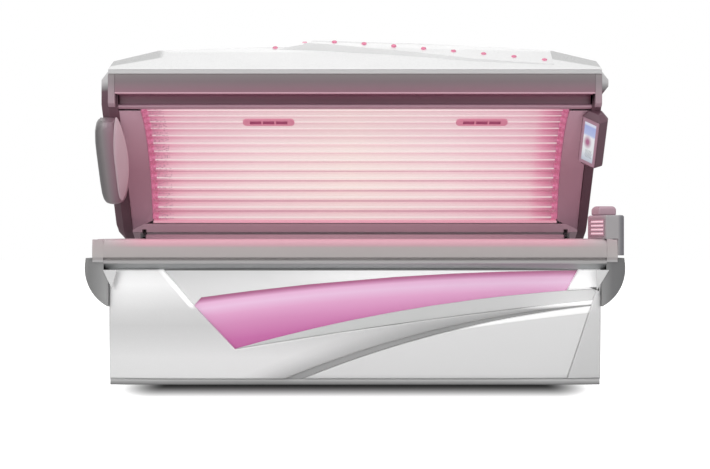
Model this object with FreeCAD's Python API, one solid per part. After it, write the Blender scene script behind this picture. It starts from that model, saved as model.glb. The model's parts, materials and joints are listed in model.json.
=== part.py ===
"""Spa capsule: a sun bed with a lamp bench, a sculpted base and a lamp canopy that swings down over it.

Millimetres, +X along the bench, +Y from the front to the rear, +Z up. The drawing plane y = 0 is the front
face of the bench rim and z = 0 is the floor. The canopy is drawn open, as it stands at rest, about its hinge.
"""
import FreeCAD
import Part

import math
import os

# Driving sizes of the bench and base
BENCH_LENGTH = 2300.0
RIM_INSET = 30.0
BASE_OVERHANG = 95.0
BENCH_TOP = 626.0
RIM_BAND = 82.0
BASE_TOP = 495.0
BASE_REAR = 950.0
REAR_RIM_DEPTH = 60.0
REAR_RIM_RISE = 19.0
PLINTH_HEIGHT = 26.0
PLINTH_SETBACK = 15.0
FRAME_INSET = 70.0
FRAME_FRONT = 100.0
FRAME_REAR_INSET = 50.0
TUBE = 40.0
TUBE_WALL = 3.0
FOOT_HEIGHT = 20.0
FOOT_DIAMETER = 50.0
FOOT_NECK = 25.0

# Driving sizes of the canopy
CANOPY_INSET = 27.0
HINGE_SETBACK = 10.0
HINGE_DROP = 26.0
FASCIA_HEIGHT = 90.0
LAMP_FIELD_INSET = 138.0
LAMP_DIAMETER = 38.0
CANOPY_LAMPS = 14
BENCH_LAMPS = 12
CLOSING_ANGLE = 38.0

# Sheet and moulding walls
SHELL_WALL = 4.0
PANEL_WALL = 5.0
SHEET_WALL = 2.0
ACRYLIC_WALL = 5.0

# Clearances
SEAT = 0.3
SEAM = 0.6
RUNNING = 0.05
SIDE_PLAY = 0.5
CLOSED_ENOUGH = 1e-6
ROUND_SIDES = 12

FRAME_REAR = BASE_REAR - FRAME_REAR_INSET
BENCH_REAR_RIM_Y = FRAME_REAR - REAR_RIM_DEPTH
HINGE_Y = FRAME_REAR + HINGE_SETBACK
HALF_BENCH = BENCH_LENGTH / 2
HALF_RIM = HALF_BENCH - RIM_INSET
HALF_BASE = HALF_BENCH - BASE_OVERHANG
HALF_FRAME = HALF_BASE - FRAME_INSET
HALF_CANOPY = HALF_BENCH - CANOPY_INSET
HALF_LAMPS = HALF_CANOPY - LAMP_FIELD_INSET
HINGE_Z = BENCH_TOP - HINGE_DROP
LAMP_RADIUS = LAMP_DIAMETER / 2

PIECES = {}

PLANES = {
    "yz": lambda at, p: FreeCAD.Vector(at, p[0], p[1]),
    "xz": lambda at, p: FreeCAD.Vector(p[0], at, p[1]),
    "xy": lambda at, p: FreeCAD.Vector(p[0], p[1], at),
}
NORMALS = {
    "yz": FreeCAD.Vector(1, 0, 0),
    "xz": FreeCAD.Vector(0, 1, 0),
    "xy": FreeCAD.Vector(0, 0, 1),
}


def bow(start, end, rise):
    """Arc step from start to end whose middle stands off the chord by rise, to the left of its direction."""
    run = (end[0] - start[0], end[1] - start[1])
    length = math.hypot(run[0], run[1])
    middle_x = (start[0] + end[0]) / 2 - rise * run[1] / length
    middle_y = (start[1] + end[1]) / 2 + rise * run[0] / length
    return ((middle_x, middle_y), end)


def wire(plane, at, steps, closed=True):
    """Wire in a plane: a point is a straight step, a pair of points is an arc through the first."""
    place = PLANES[plane]
    edges = []
    here = steps[0]
    ring = list(steps[1:])
    if closed:
        ring.append(steps[0])
    for step in ring:
        if isinstance(step[0], tuple):
            middle, end = step
            edges.append(Part.Arc(place(at, here), place(at, middle), place(at, end)).toShape())
        else:
            end = step
            if math.dist(here, end) > CLOSED_ENOUGH:
                edges.append(Part.LineSegment(place(at, here), place(at, end)).toShape())
        here = end
    return Part.Wire(edges)


def prism(plane, steps, start, end):
    """Solid of a closed outline drawn in a plane at start and carried along its normal to end."""
    face = Part.Face(wire(plane, start, steps))
    return face.extrude(NORMALS[plane] * (end - start))


def inset(plane, at, steps, distance):
    """Wire of a closed outline moved inwards by a distance."""
    outline = wire(plane, at, steps)
    full = Part.Face(outline).Area
    moved = outline.makeOffset2D(-distance, 2)
    if Part.Face(moved).Area > full:
        moved = outline.makeOffset2D(distance, 2)
    return moved


def inset_prism(plane, steps, distance, start, end):
    """Solid of an outline moved inwards by a distance, between two stations."""
    return Part.Face(inset(plane, start, steps, distance)).extrude(NORMALS[plane] * (end - start))


def tube_prism(plane, steps, wall, start, end):
    """Hollow profile with one wall all round, open at both ends."""
    return prism(plane, steps, start, end).cut(inset_prism(plane, steps, wall, start - 1, end + 1))


def box(x, y, z):
    """Box between pairs of limits."""
    corner = FreeCAD.Vector(min(x), min(y), min(z))
    return Part.makeBox(abs(x[1] - x[0]), abs(y[1] - y[0]), abs(z[1] - z[0]), corner)


def rod_x(radius, x, y, z):
    """Round bar along X between two limits."""
    return Part.makeCylinder(radius, abs(x[1] - x[0]), FreeCAD.Vector(min(x), y, z), FreeCAD.Vector(1, 0, 0))


def polygon(radius):
    """Outline with ROUND_SIDES corners on a circle, for small round pieces that come in numbers."""
    turns = [2 * math.pi * corner / ROUND_SIDES for corner in range(ROUND_SIDES)]
    return [(radius * math.cos(turn), radius * math.sin(turn)) for turn in turns]


def planar_loft(sections):
    """Solid with flat faces between rings of points that have parallel sides."""
    faces = []
    for ring in (sections[0], sections[-1]):
        faces.append(Part.Face(Part.makePolygon(ring + ring[:1])))
    for ring, following in zip(sections, sections[1:]):
        for corner in range(len(ring)):
            beside = (corner + 1) % len(ring)
            side = [ring[corner], ring[beside], following[beside], following[corner], ring[corner]]
            faces.append(Part.Face(Part.makePolygon(side)))
    solid = Part.makeSolid(Part.makeShell(faces))
    if solid.Volume < 0:
        solid.reverse()
    return solid


def mirrored(shape):
    """Copy on the other side of the middle of the bench."""
    return shape.mirror(FreeCAD.Vector(0, 0, 0), FreeCAD.Vector(1, 0, 0))


def both_sides(shape):
    """A shape and its copy on the other side, as separate solids of one group."""
    return Part.makeCompound([mirrored(shape), shape])


def add(name, shape):
    """Keep a finished piece under its name."""
    PIECES[name] = shape


def arc_centre(start, end, rise):
    """Centre and radius of the arc over a chord, bulging to the left of its direction by rise."""
    run = (end[0] - start[0], end[1] - start[1])
    chord = math.hypot(run[0], run[1])
    radius = (chord * chord / 4 + rise * rise) / (2 * rise)
    back = radius - rise
    centre_x = (start[0] + end[0]) / 2 + back * run[1] / chord
    centre_y = (start[1] + end[1]) / 2 - back * run[0] / chord
    return (centre_x, centre_y), radius


class LampTrough:
    """Curved lamp field: an acrylic sheet on an arc, with lamps, holders and a reflector behind it."""

    LAMP_STAND_OFF = 25.0
    REFLECTOR_STAND_OFF = 30.0
    REFLECTOR_WALL = 1.0
    REFLECTOR_TRIM = 0.04
    HOLDER_WIDTH = 30.0
    HOLDER_DEPTH = 12.0
    HOLDER_CROWN = 21.0
    HOLDER_CHAMFER = 10.0

    def __init__(self, start, end, rise, lamps, lamp_edge):
        self.lamp_edge = lamp_edge
        self.centre, self.radius = arc_centre(start, end, rise)
        self.start_angle = math.atan2(start[1] - self.centre[1], start[0] - self.centre[0])
        end_angle = math.atan2(end[1] - self.centre[1], end[0] - self.centre[0])
        self.sweep = (end_angle - self.start_angle + math.pi) % (2 * math.pi) - math.pi
        self.lamps = lamps
        self.lamp_radius = self.radius + ACRYLIC_WALL + self.LAMP_STAND_OFF
        self.mirror_radius = self.lamp_radius + self.REFLECTOR_STAND_OFF

    def point(self, radius, share):
        """Point of the section at a radius, a share of the way round the arc."""
        angle = self.start_angle + self.sweep * share
        return (self.centre[0] + radius * math.cos(angle), self.centre[1] + radius * math.sin(angle))

    def band(self, inner, outer, first=0.0, last=1.0):
        """Closed outline between two radii."""
        middle = (first + last) / 2
        return [
            self.point(inner, first),
            (self.point(inner, middle), self.point(inner, last)),
            self.point(outer, last),
            (self.point(outer, middle), self.point(outer, first)),
        ]

    def shares(self):
        """Places of the lamps round the arc, the outer two a lamp edge in from the ends."""
        edge = self.lamp_edge / (self.lamp_radius * abs(self.sweep))
        step = (1 - 2 * edge) / (self.lamps - 1)
        return [edge + step * number for number in range(self.lamps)]

    def acrylic(self, half):
        """Clear sheet that covers the lamps, its edges trimmed so that they clear the rims."""
        trim = ACRYLIC_WALL * math.tan(abs(self.sweep) / 2) / (self.radius * abs(self.sweep))
        outline = self.band(self.radius, self.radius + ACRYLIC_WALL, trim, 1 - trim)
        return prism("yz", outline, -half, half)

    def reflector(self, half):
        """Bright sheet behind the lamps."""
        outer = self.mirror_radius + self.REFLECTOR_WALL
        trim = self.REFLECTOR_TRIM
        return prism("yz", self.band(self.mirror_radius, outer, trim, 1 - trim), -half, half)

    def tubes(self, half):
        """Lamps, as long as twice half."""
        tubes = []
        for share in self.shares():
            y, z = self.point(self.lamp_radius, share)
            tube = prism("yz", polygon(LAMP_RADIUS), -half, half)
            tube.translate(FreeCAD.Vector(0, y, z))
            tubes.append(tube)
        return Part.makeCompound(tubes)

    def holders(self, half):
        """Chamfered lampholders that stand on the reflector and take the lamp ends."""
        foot = self.REFLECTOR_STAND_OFF - SEAT
        wide = self.HOLDER_WIDTH / 2
        crown = self.HOLDER_CROWN
        shoulder = crown - self.HOLDER_CHAMFER
        narrow = wide - self.HOLDER_CHAMFER
        outline = [
            (-wide, -foot),
            (wide, -foot),
            (wide, shoulder),
            (narrow, crown),
            (-narrow, crown),
            (-wide, shoulder),
        ]
        holders = []
        for share in self.shares():
            y, z = self.point(self.lamp_radius, share)
            inwards = math.atan2(self.centre[1] - z, self.centre[0] - y) - math.pi / 2
            for x in (-half - self.HOLDER_DEPTH - SEAT, half + SEAT):
                holder = prism("yz", outline, x, x + self.HOLDER_DEPTH)
                holder.rotate(FreeCAD.Vector(0, 0, 0), FreeCAD.Vector(1, 0, 0), math.degrees(inwards))
                holder.translate(FreeCAD.Vector(0, y, z))
                holders.append(holder)
        return Part.makeCompound(holders)


# Front of the base: one master surface, drawn as profiles at stations along the bench
FRONT_BOTTOM_Y = 40.0
FRONT_BELLY_Y = 22.0
FRONT_TOP_Y = 34.0
FRONT_END_SETBACK = 20.0
FRONT_NEAR_END = 330.0
TRAY_DEPTH = 30.0
UPPER_RECESS = 18.0
BAND_RECESS = 12.0
SERVICE_RECESS = 6.0
GROOVE_RECESS = 20.0
LENS_WALL = 4.0
LENS_LAP = 12.0

# Outlines of the front, measured from the ends of the base and from the floor
WING_TOP_WIDTH = 234.0
WING_WAIST = (367.0, 339.0)
WINDOW_TIP = (541.0, 154.0)
WINDOW_SHOULDER = (395.0, 375.0)
WINDOW_HEEL = (370.0, 347.0)
WINDOW_TOP_RIGHT = (101.0, 491.0)
WINDOW_LOW_RIGHT = (146.0, 405.0)
WINDOW_TOP_RISE = 28.0
WINDOW_LOW_RISE = 38.0
BAND_RISE = 13.0
BAND_END = (34.0, 364.0)
GROOVE_TOP_START = 755.0
GROOVE_TOP_END = (40.0, 345.0)
GROOVE_TOP_RISE = 53.0
GROOVE_LOW_START = 832.0
GROOVE_LOW_END = (42.0, 338.0)
GROOVE_LOW_RISE = 46.0
FACET_TOP = (18.0, 412.0)
FACET_FOOT = 143.0
CORNER_TOP_WIDTH = 95.0


def from_left(point):
    """Place on the front, measured from the left end of the base."""
    return (-HALF_BASE + point[0], point[1])


def from_right(point):
    """Place on the front, measured from the right end of the base."""
    return (HALF_BASE - point[0], point[1])


def front_slab(recess, thickness):
    """Slab that follows the master surface of the front, set back by a recess."""
    sections = []
    near = HALF_BASE - FRONT_NEAR_END
    stations = ((-HALF_BASE, 1.0), (-near, 0.2), (0.0, 0.0), (near, 0.2), (HALF_BASE, 1.0))
    top = BASE_TOP
    bottom = PLINTH_HEIGHT
    middle = (top + bottom) / 2
    for x, share in stations:
        y = FRONT_END_SETBACK * share + recess
        outline = [
            (FRONT_BOTTOM_Y + y, bottom),
            ((FRONT_BELLY_Y + y, middle), (FRONT_TOP_Y + y, top)),
            (FRONT_TOP_Y + y + thickness, top),
            ((FRONT_BELLY_Y + y + thickness, middle), (FRONT_BOTTOM_Y + y + thickness, bottom)),
        ]
        sections.append(wire("yz", x, outline))
    return Part.makeLoft(sections, True, False)


FRONT_REACH = (-60.0, 200.0)


def front_piece(outline, recess, thickness):
    """Part of the front surface inside an outline."""
    return front_slab(recess, thickness).common(prism("xz", outline, *FRONT_REACH))


def front_tray(outline, recess, depth, wall):
    """Moulded tray: a skin inside an outline with a flange turned back all round it."""
    body = front_piece(outline, recess, depth)
    hollow = front_slab(recess + wall, depth).common(inset_prism("xz", outline, wall, *FRONT_REACH))
    return body.cut(hollow)


def build_front():
    """Sweep shell, upper panel, window with its band, groove trim, service panel and right corner."""
    foot = PLINTH_HEIGHT
    wing_top = from_left((WING_TOP_WIDTH, BASE_TOP))
    waist = from_left(WING_WAIST)
    tip = from_left(WINDOW_TIP)
    band_end = from_right(BAND_END)
    groove_top_start = from_left((GROOVE_TOP_START, foot))
    groove_top_end = from_right(GROOVE_TOP_END)
    groove_low_start = from_left((GROOVE_LOW_START, foot))
    groove_low_end = from_right(GROOVE_LOW_END)
    low_right = from_right(WINDOW_LOW_RIGHT)
    top_right = from_right(WINDOW_TOP_RIGHT)
    facet_top = from_right(FACET_TOP)
    facet_foot = from_right((FACET_FOOT, foot))
    corner_top = from_right((CORNER_TOP_WIDTH, BASE_TOP))

    sweep = [
        (-HALF_BASE, foot),
        (-HALF_BASE, BASE_TOP),
        wing_top,
        waist,
        tip,
        bow(tip, band_end, BAND_RISE),
        groove_top_end,
        bow(groove_top_end, groove_top_start, -GROOVE_TOP_RISE),
    ]
    add("front_sweep_shell", front_tray(sweep, 0.0, TRAY_DEPTH, PANEL_WALL))

    seam = SEAM
    heel = from_left(WINDOW_HEEL)
    shoulder = from_left(WINDOW_SHOULDER)
    upper = [
        (wing_top[0] + seam, BASE_TOP),
        (waist[0] + seam, waist[1] + seam),
        (heel[0] + seam, heel[1]),
        shoulder,
        bow(shoulder, top_right, WINDOW_TOP_RISE),
        (corner_top[0] - seam, BASE_TOP),
    ]
    add("front_upper_panel", front_piece(upper, UPPER_RECESS, TRAY_DEPTH - UPPER_RECESS))

    band_tip = (tip[0] + seam, tip[1] + seam)
    band_right = (low_right[0], low_right[1] - seam)
    band_low = (band_end[0] - seam, band_end[1] + seam)
    band = [
        band_tip,
        bow(band_tip, band_right, WINDOW_LOW_RISE),
        (facet_top[0] - seam, facet_top[1] - 2 * seam),
        band_low,
        bow(band_low, band_tip, -BAND_RISE),
    ]
    add("window_band", front_piece(band, BAND_RECESS, TRAY_DEPTH - BAND_RECESS))

    window = [
        shoulder,
        bow(shoulder, top_right, WINDOW_TOP_RISE),
        low_right,
        bow(low_right, tip, -WINDOW_LOW_RISE),
        heel,
    ]
    lens_outline = Part.Face(wire("xz", FRONT_REACH[0], window)).Wires[0].makeOffset2D(LENS_LAP, 0)
    if Part.Face(lens_outline).Area < Part.Face(wire("xz", FRONT_REACH[0], window)).Area:
        lens_outline = wire("xz", FRONT_REACH[0], window).makeOffset2D(-LENS_LAP, 0)
    lens_prism = Part.Face(lens_outline).extrude(NORMALS["xz"] * (FRONT_REACH[1] - FRONT_REACH[0]))
    add("front_window", front_slab(TRAY_DEPTH + SEAT, LENS_WALL).common(lens_prism))

    trim_start = (groove_top_start[0] + seam, foot)
    trim_end = (groove_top_end[0], groove_top_end[1] - seam)
    trim_low_end = (groove_low_end[0], groove_low_end[1] + seam)
    trim_low_start = (groove_low_start[0] - seam, foot)
    groove = [
        trim_start,
        bow(trim_start, trim_end, GROOVE_TOP_RISE),
        trim_low_end,
        bow(trim_low_end, trim_low_start, -GROOVE_LOW_RISE),
    ]
    add("groove_trim", front_piece(groove, GROOVE_RECESS, TRAY_DEPTH - GROOVE_RECESS))

    service = [
        groove_low_start,
        bow(groove_low_start, groove_low_end, GROOVE_LOW_RISE),
        (facet_foot[0] - seam, foot),
    ]
    add("service_panel", front_tray(service, SERVICE_RECESS, TRAY_DEPTH - SERVICE_RECESS, PANEL_WALL))

    corner = [
        corner_top,
        (HALF_BASE, BASE_TOP),
        (HALF_BASE, foot),
        facet_foot,
        facet_top,
        (low_right[0] + seam, low_right[1] + seam),
    ]
    add("front_corner_panel", front_tray(corner, 0.0, TRAY_DEPTH, PANEL_WALL))


# Frame, plinth and panels of the base
FLOOR_CLEARANCE = 4.0
PLINTH_WEB = 3.0
PLINTH_FRONT = 65.0
END_RAIL_DROP = 55.0
RAIL_REACH = 60.0
REAR_PANEL_TOP = 585.0
GRILLE_SLOTS = 11
GRILLE_PITCH = 20.0
GRILLE_SLOT = (190.0, 10.0)
FAN_X = -HALF_FRAME + 485.0
FAN_Z = 275.0
FAN_SIZE = 240.0
FAN_DEPTH = 44.0
FAN_BLADES = 5


def square_tube(x, y, z, along):
    """Hollow square tube between pairs of limits, open along one axis."""
    inner = []
    for axis, pair in zip("xyz", (x, y, z)):
        if axis == along:
            inner.append((pair[0] - 1, pair[1] + 1))
        else:
            inner.append((pair[0] + TUBE_WALL, pair[1] - TUBE_WALL))
    return box(x, y, z).cut(box(*inner))


def build_frame():
    """Welded tube frame on six levelling feet, with the floor tray, plinth, end and rear panels."""
    floor = (FOOT_HEIGHT, FOOT_HEIGHT + TUBE)
    top = (BASE_TOP - TUBE, BASE_TOP)
    end_rail = (BASE_TOP - END_RAIL_DROP - TUBE, BASE_TOP - END_RAIL_DROP)
    rows = ((FRAME_FRONT, FRAME_FRONT + TUBE), (FRAME_REAR - TUBE, FRAME_REAR))
    columns = (
        (-HALF_FRAME, -HALF_FRAME + TUBE),
        (-TUBE / 2, TUBE / 2),
        (HALF_FRAME - TUBE, HALF_FRAME),
    )
    between = (rows[0][1], rows[1][0])
    reach = HALF_FRAME + RAIL_REACH
    tubes = []
    for row in rows:
        tubes.append(square_tube((-HALF_FRAME, HALF_FRAME), row, floor, "x"))
        tubes.append(square_tube((-reach, reach), row, top, "x"))
        for column in columns:
            tubes.append(square_tube(column, row, (floor[1], top[0]), "z"))
    for column in columns:
        tubes.append(square_tube(column, between, floor, "y"))
    for column in (columns[0], columns[2]):
        tubes.append(square_tube(column, between, end_rail, "y"))
    frame = tubes[0].multiFuse(tubes[1:]).removeSplitter()
    add("base_frame", frame)

    sole = [FreeCAD.Vector(x, y, 0) for x, y in polygon(FOOT_DIAMETER / 2)]
    neck = [FreeCAD.Vector(x, y, FOOT_HEIGHT) for x, y in polygon(FOOT_NECK / 2)]
    foot = planar_loft([sole, neck])
    feet = []
    for row in rows:
        for column in columns:
            copy = foot.copy()
            copy.translate(FreeCAD.Vector(sum(column) / 2, sum(row) / 2, 0))
            feet.append(copy)
    add("levelling_feet", Part.makeCompound(feet))

    tray = box((-HALF_FRAME, HALF_FRAME), (FRAME_FRONT, FRAME_REAR), (floor[1], floor[1] + SHEET_WALL))
    add("floor_tray", tray.cut(frame))

    web_x = HALF_BASE - PLINTH_SETBACK
    web_y = (PLINTH_FRONT, BASE_REAR - PLINTH_SETBACK)
    web_z = (FLOOR_CLEARANCE, PLINTH_HEIGHT)
    web = box((-web_x, web_x), web_y, web_z).cut(
        box((-web_x + PLINTH_WEB, web_x - PLINTH_WEB), (web_y[0] + PLINTH_WEB, web_y[1] - PLINTH_WEB), web_z)
    )
    ledge_x = HALF_BASE - SHEET_WALL
    ledge_z = (PLINTH_HEIGHT - PLINTH_WEB, PLINTH_HEIGHT)
    ledge = box((-ledge_x, ledge_x), (PLINTH_FRONT - PLINTH_WEB, BASE_REAR - SHEET_WALL), ledge_z).cut(
        box((-HALF_FRAME, HALF_FRAME), (FRAME_FRONT, FRAME_REAR), ledge_z)
    )
    add("plinth", web.fuse(ledge).removeSplitter())

    back = FRONT_END_SETBACK + TRAY_DEPTH + SEAM
    middle = (BASE_TOP + PLINTH_HEIGHT) / 2
    side_face = [
        (FRONT_BOTTOM_Y + back, PLINTH_HEIGHT),
        ((FRONT_BELLY_Y + back, middle), (FRONT_TOP_Y + back, BASE_TOP)),
        (BASE_REAR - PANEL_WALL - SEAT, BASE_TOP),
        (BASE_REAR - PANEL_WALL - SEAT, PLINTH_HEIGHT),
    ]
    side = prism("yz", side_face, HALF_BASE - PANEL_WALL, HALF_BASE)
    add("side_panels", both_sides(side))

    rear_y = (BASE_REAR - PANEL_WALL, BASE_REAR)
    rear = box((-HALF_BASE, HALF_BASE), rear_y, (PLINTH_HEIGHT, REAR_PANEL_TOP))
    slots = []
    for middle_x in (FAN_X, -FAN_X):
        for number in range(GRILLE_SLOTS):
            low = FAN_Z + (number - (GRILLE_SLOTS - 1) / 2) * GRILLE_PITCH - GRILLE_SLOT[1] / 2
            wide = (middle_x - GRILLE_SLOT[0] / 2, middle_x + GRILLE_SLOT[0] / 2)
            slots.append(box(wide, (rear_y[0] - 1, rear_y[1] + 1), (low, low + GRILLE_SLOT[1])))
    gland_hole = Part.makeCylinder(
        GLAND_THREAD / 2 + SEAT,
        3 * PANEL_WALL,
        FreeCAD.Vector(GLAND_X, BASE_REAR - 2 * PANEL_WALL, GLAND_Z),
        FreeCAD.Vector(0, 1, 0),
    )
    add("rear_panel", rear.cut(Part.makeCompound(slots)).cut(gland_hole))


# Electrical gear inside the base
GLAND_X = HALF_FRAME - 185.0
GLAND_Z = 120.0
GLAND_THREAD = 25.0
GLAND_HEX = 36.0
GLAND_DOME = 28.0
GLAND_COLLAR = 8.0
GLAND_REACH = 24.0
GLAND_BORE = 12.5
BALLAST = (180.0, 44.0, 40.0)
BALLAST_ROWS = 2
BALLAST_COLUMNS = 6
BALLAST_CHAMFER = 8.0
BALLAST_INSET = 185.0
BALLAST_FRONT = 250.0
BALLAST_AT = (-HALF_FRAME + BALLAST_INSET, BALLAST_FRONT)
BALLAST_GAP = 60.0
CONTROL_BOX = (320.0, 220.0, 130.0)
CONTROL_BOX_INSET = (345.0, 340.0)
CONTROL_BOX_AT = (HALF_FRAME - CONTROL_BOX_INSET[0], FRAME_REAR - CONTROL_BOX_INSET[1])
LIGHT_BAR = (700.0, 24.0, 8.0)
LIGHT_BAR_Z = 360.0


def build_electrics():
    """Ballasts, control box, mains gland and the light bar behind the window."""
    deck = FOOT_HEIGHT + TUBE + SHEET_WALL
    length, width, height = BALLAST
    core = [
        (-width / 2, 0),
        (width / 2, 0),
        (width / 2, height - BALLAST_CHAMFER),
        (width / 2 - BALLAST_CHAMFER, height),
        (-width / 2 + BALLAST_CHAMFER, height),
        (-width / 2, height - BALLAST_CHAMFER),
    ]
    ballasts = []
    for row in range(BALLAST_ROWS):
        for column in range(BALLAST_COLUMNS):
            piece = prism("yz", core, -length / 2, length / 2)
            x = BALLAST_AT[0] + column * (length + BALLAST_GAP)
            y = BALLAST_AT[1] + row * (width + BALLAST_GAP)
            piece.translate(FreeCAD.Vector(x, y, deck))
            ballasts.append(piece)
    add("ballasts", Part.makeCompound(ballasts))

    size_x, size_y, size_z = CONTROL_BOX
    at_x, at_y = CONTROL_BOX_AT
    shell = box((at_x, at_x + size_x), (at_y, at_y + size_y), (deck, deck + size_z))
    wall = SHEET_WALL
    hollow = box(
        (at_x + wall, at_x + size_x - wall),
        (at_y + wall, at_y + size_y - wall),
        (deck + wall, deck + size_z - wall),
    )
    add("control_box", shell.cut(hollow))

    def hexagon(across):
        """Outline of a hexagon by the distance across its corners."""
        turns = [math.radians(60 * corner) for corner in range(6)]
        return [(across / 2 * math.cos(turn), across / 2 * math.sin(turn)) for turn in turns]

    shank = 3 * PANEL_WALL
    gland = Part.makeCylinder(GLAND_THREAD / 2, shank, FreeCAD.Vector(0, 0, -shank))
    collar = prism("xy", hexagon(GLAND_HEX), 0, GLAND_COLLAR)
    dome = prism("xy", hexagon(GLAND_DOME), 0, GLAND_REACH)
    gland = gland.fuse([collar, dome])
    through = 2 * GLAND_REACH
    gland = gland.cut(Part.makeCylinder(GLAND_BORE / 2, 2 * through, FreeCAD.Vector(0, 0, -through)))
    gland.rotate(FreeCAD.Vector(0, 0, 0), FreeCAD.Vector(1, 0, 0), -90)
    gland.translate(FreeCAD.Vector(GLAND_X, BASE_REAR + SEAT, GLAND_Z))
    add("mains_gland", gland)

    long, tall, thick = LIGHT_BAR
    bar_z = (LIGHT_BAR_Z, LIGHT_BAR_Z + tall)
    bar = box((-long / 2, long / 2), (FRAME_FRONT - thick, FRAME_FRONT), bar_z)
    add("window_light_bar", bar)


# Bench rims, end caps and lamp trough
RIM_DEPTH = 86.0
RIM_ROLL = 32.0
ROLL_BOW = 0.29
RIM_CORNER = 47.0
RIM_LEDGE = 20.0
END_RIM_REAR = FRAME_REAR - 100.0
END_RIM_INNER = HALF_FRAME + 7.0
END_RIM_FLOOR = 81.0
REAR_RIM_FOOT = 34.0
REAR_RIM_EASE = 12.0
REAR_RIM_SKIRT = 26.0
REAR_RIM_STEP = 36.0
RIM_EASE = (16.0, 10.0)
RIM_GROOVE = 9.0
RIM_GROOVE_EASE = 5.0
RIM_GROOVE_FOOT = 7.0
RIM_BEAD_FACE = (2.0, 4.0)
RIM_BEAD_DROP = (11.0, 21.0)
RIM_UNDERSIDE = 66.0
CAP_LIP = 4.0
TROUGH_EDGE_DROP = 20.0
TROUGH_RISE = 90.0
BENCH_LAMP_EDGE = 50.0
CAP_DROP = 208.0
CAP_FRONT = 14.0
CAP_REAR = FRAME_REAR - 20.0
CAP_NOTCH = 7.0
CAP_BULGE = 38.0


def bench_trough():
    """Lamp trough of the bench, drawn from the rear rim to the front rim."""
    edge = BENCH_TOP - TROUGH_EDGE_DROP
    rear = (BENCH_REAR_RIM_Y - SEAT, edge)
    front = (RIM_DEPTH + SEAT, edge)
    return LampTrough(rear, front, TROUGH_RISE, BENCH_LAMPS, BENCH_LAMP_EDGE)


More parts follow.
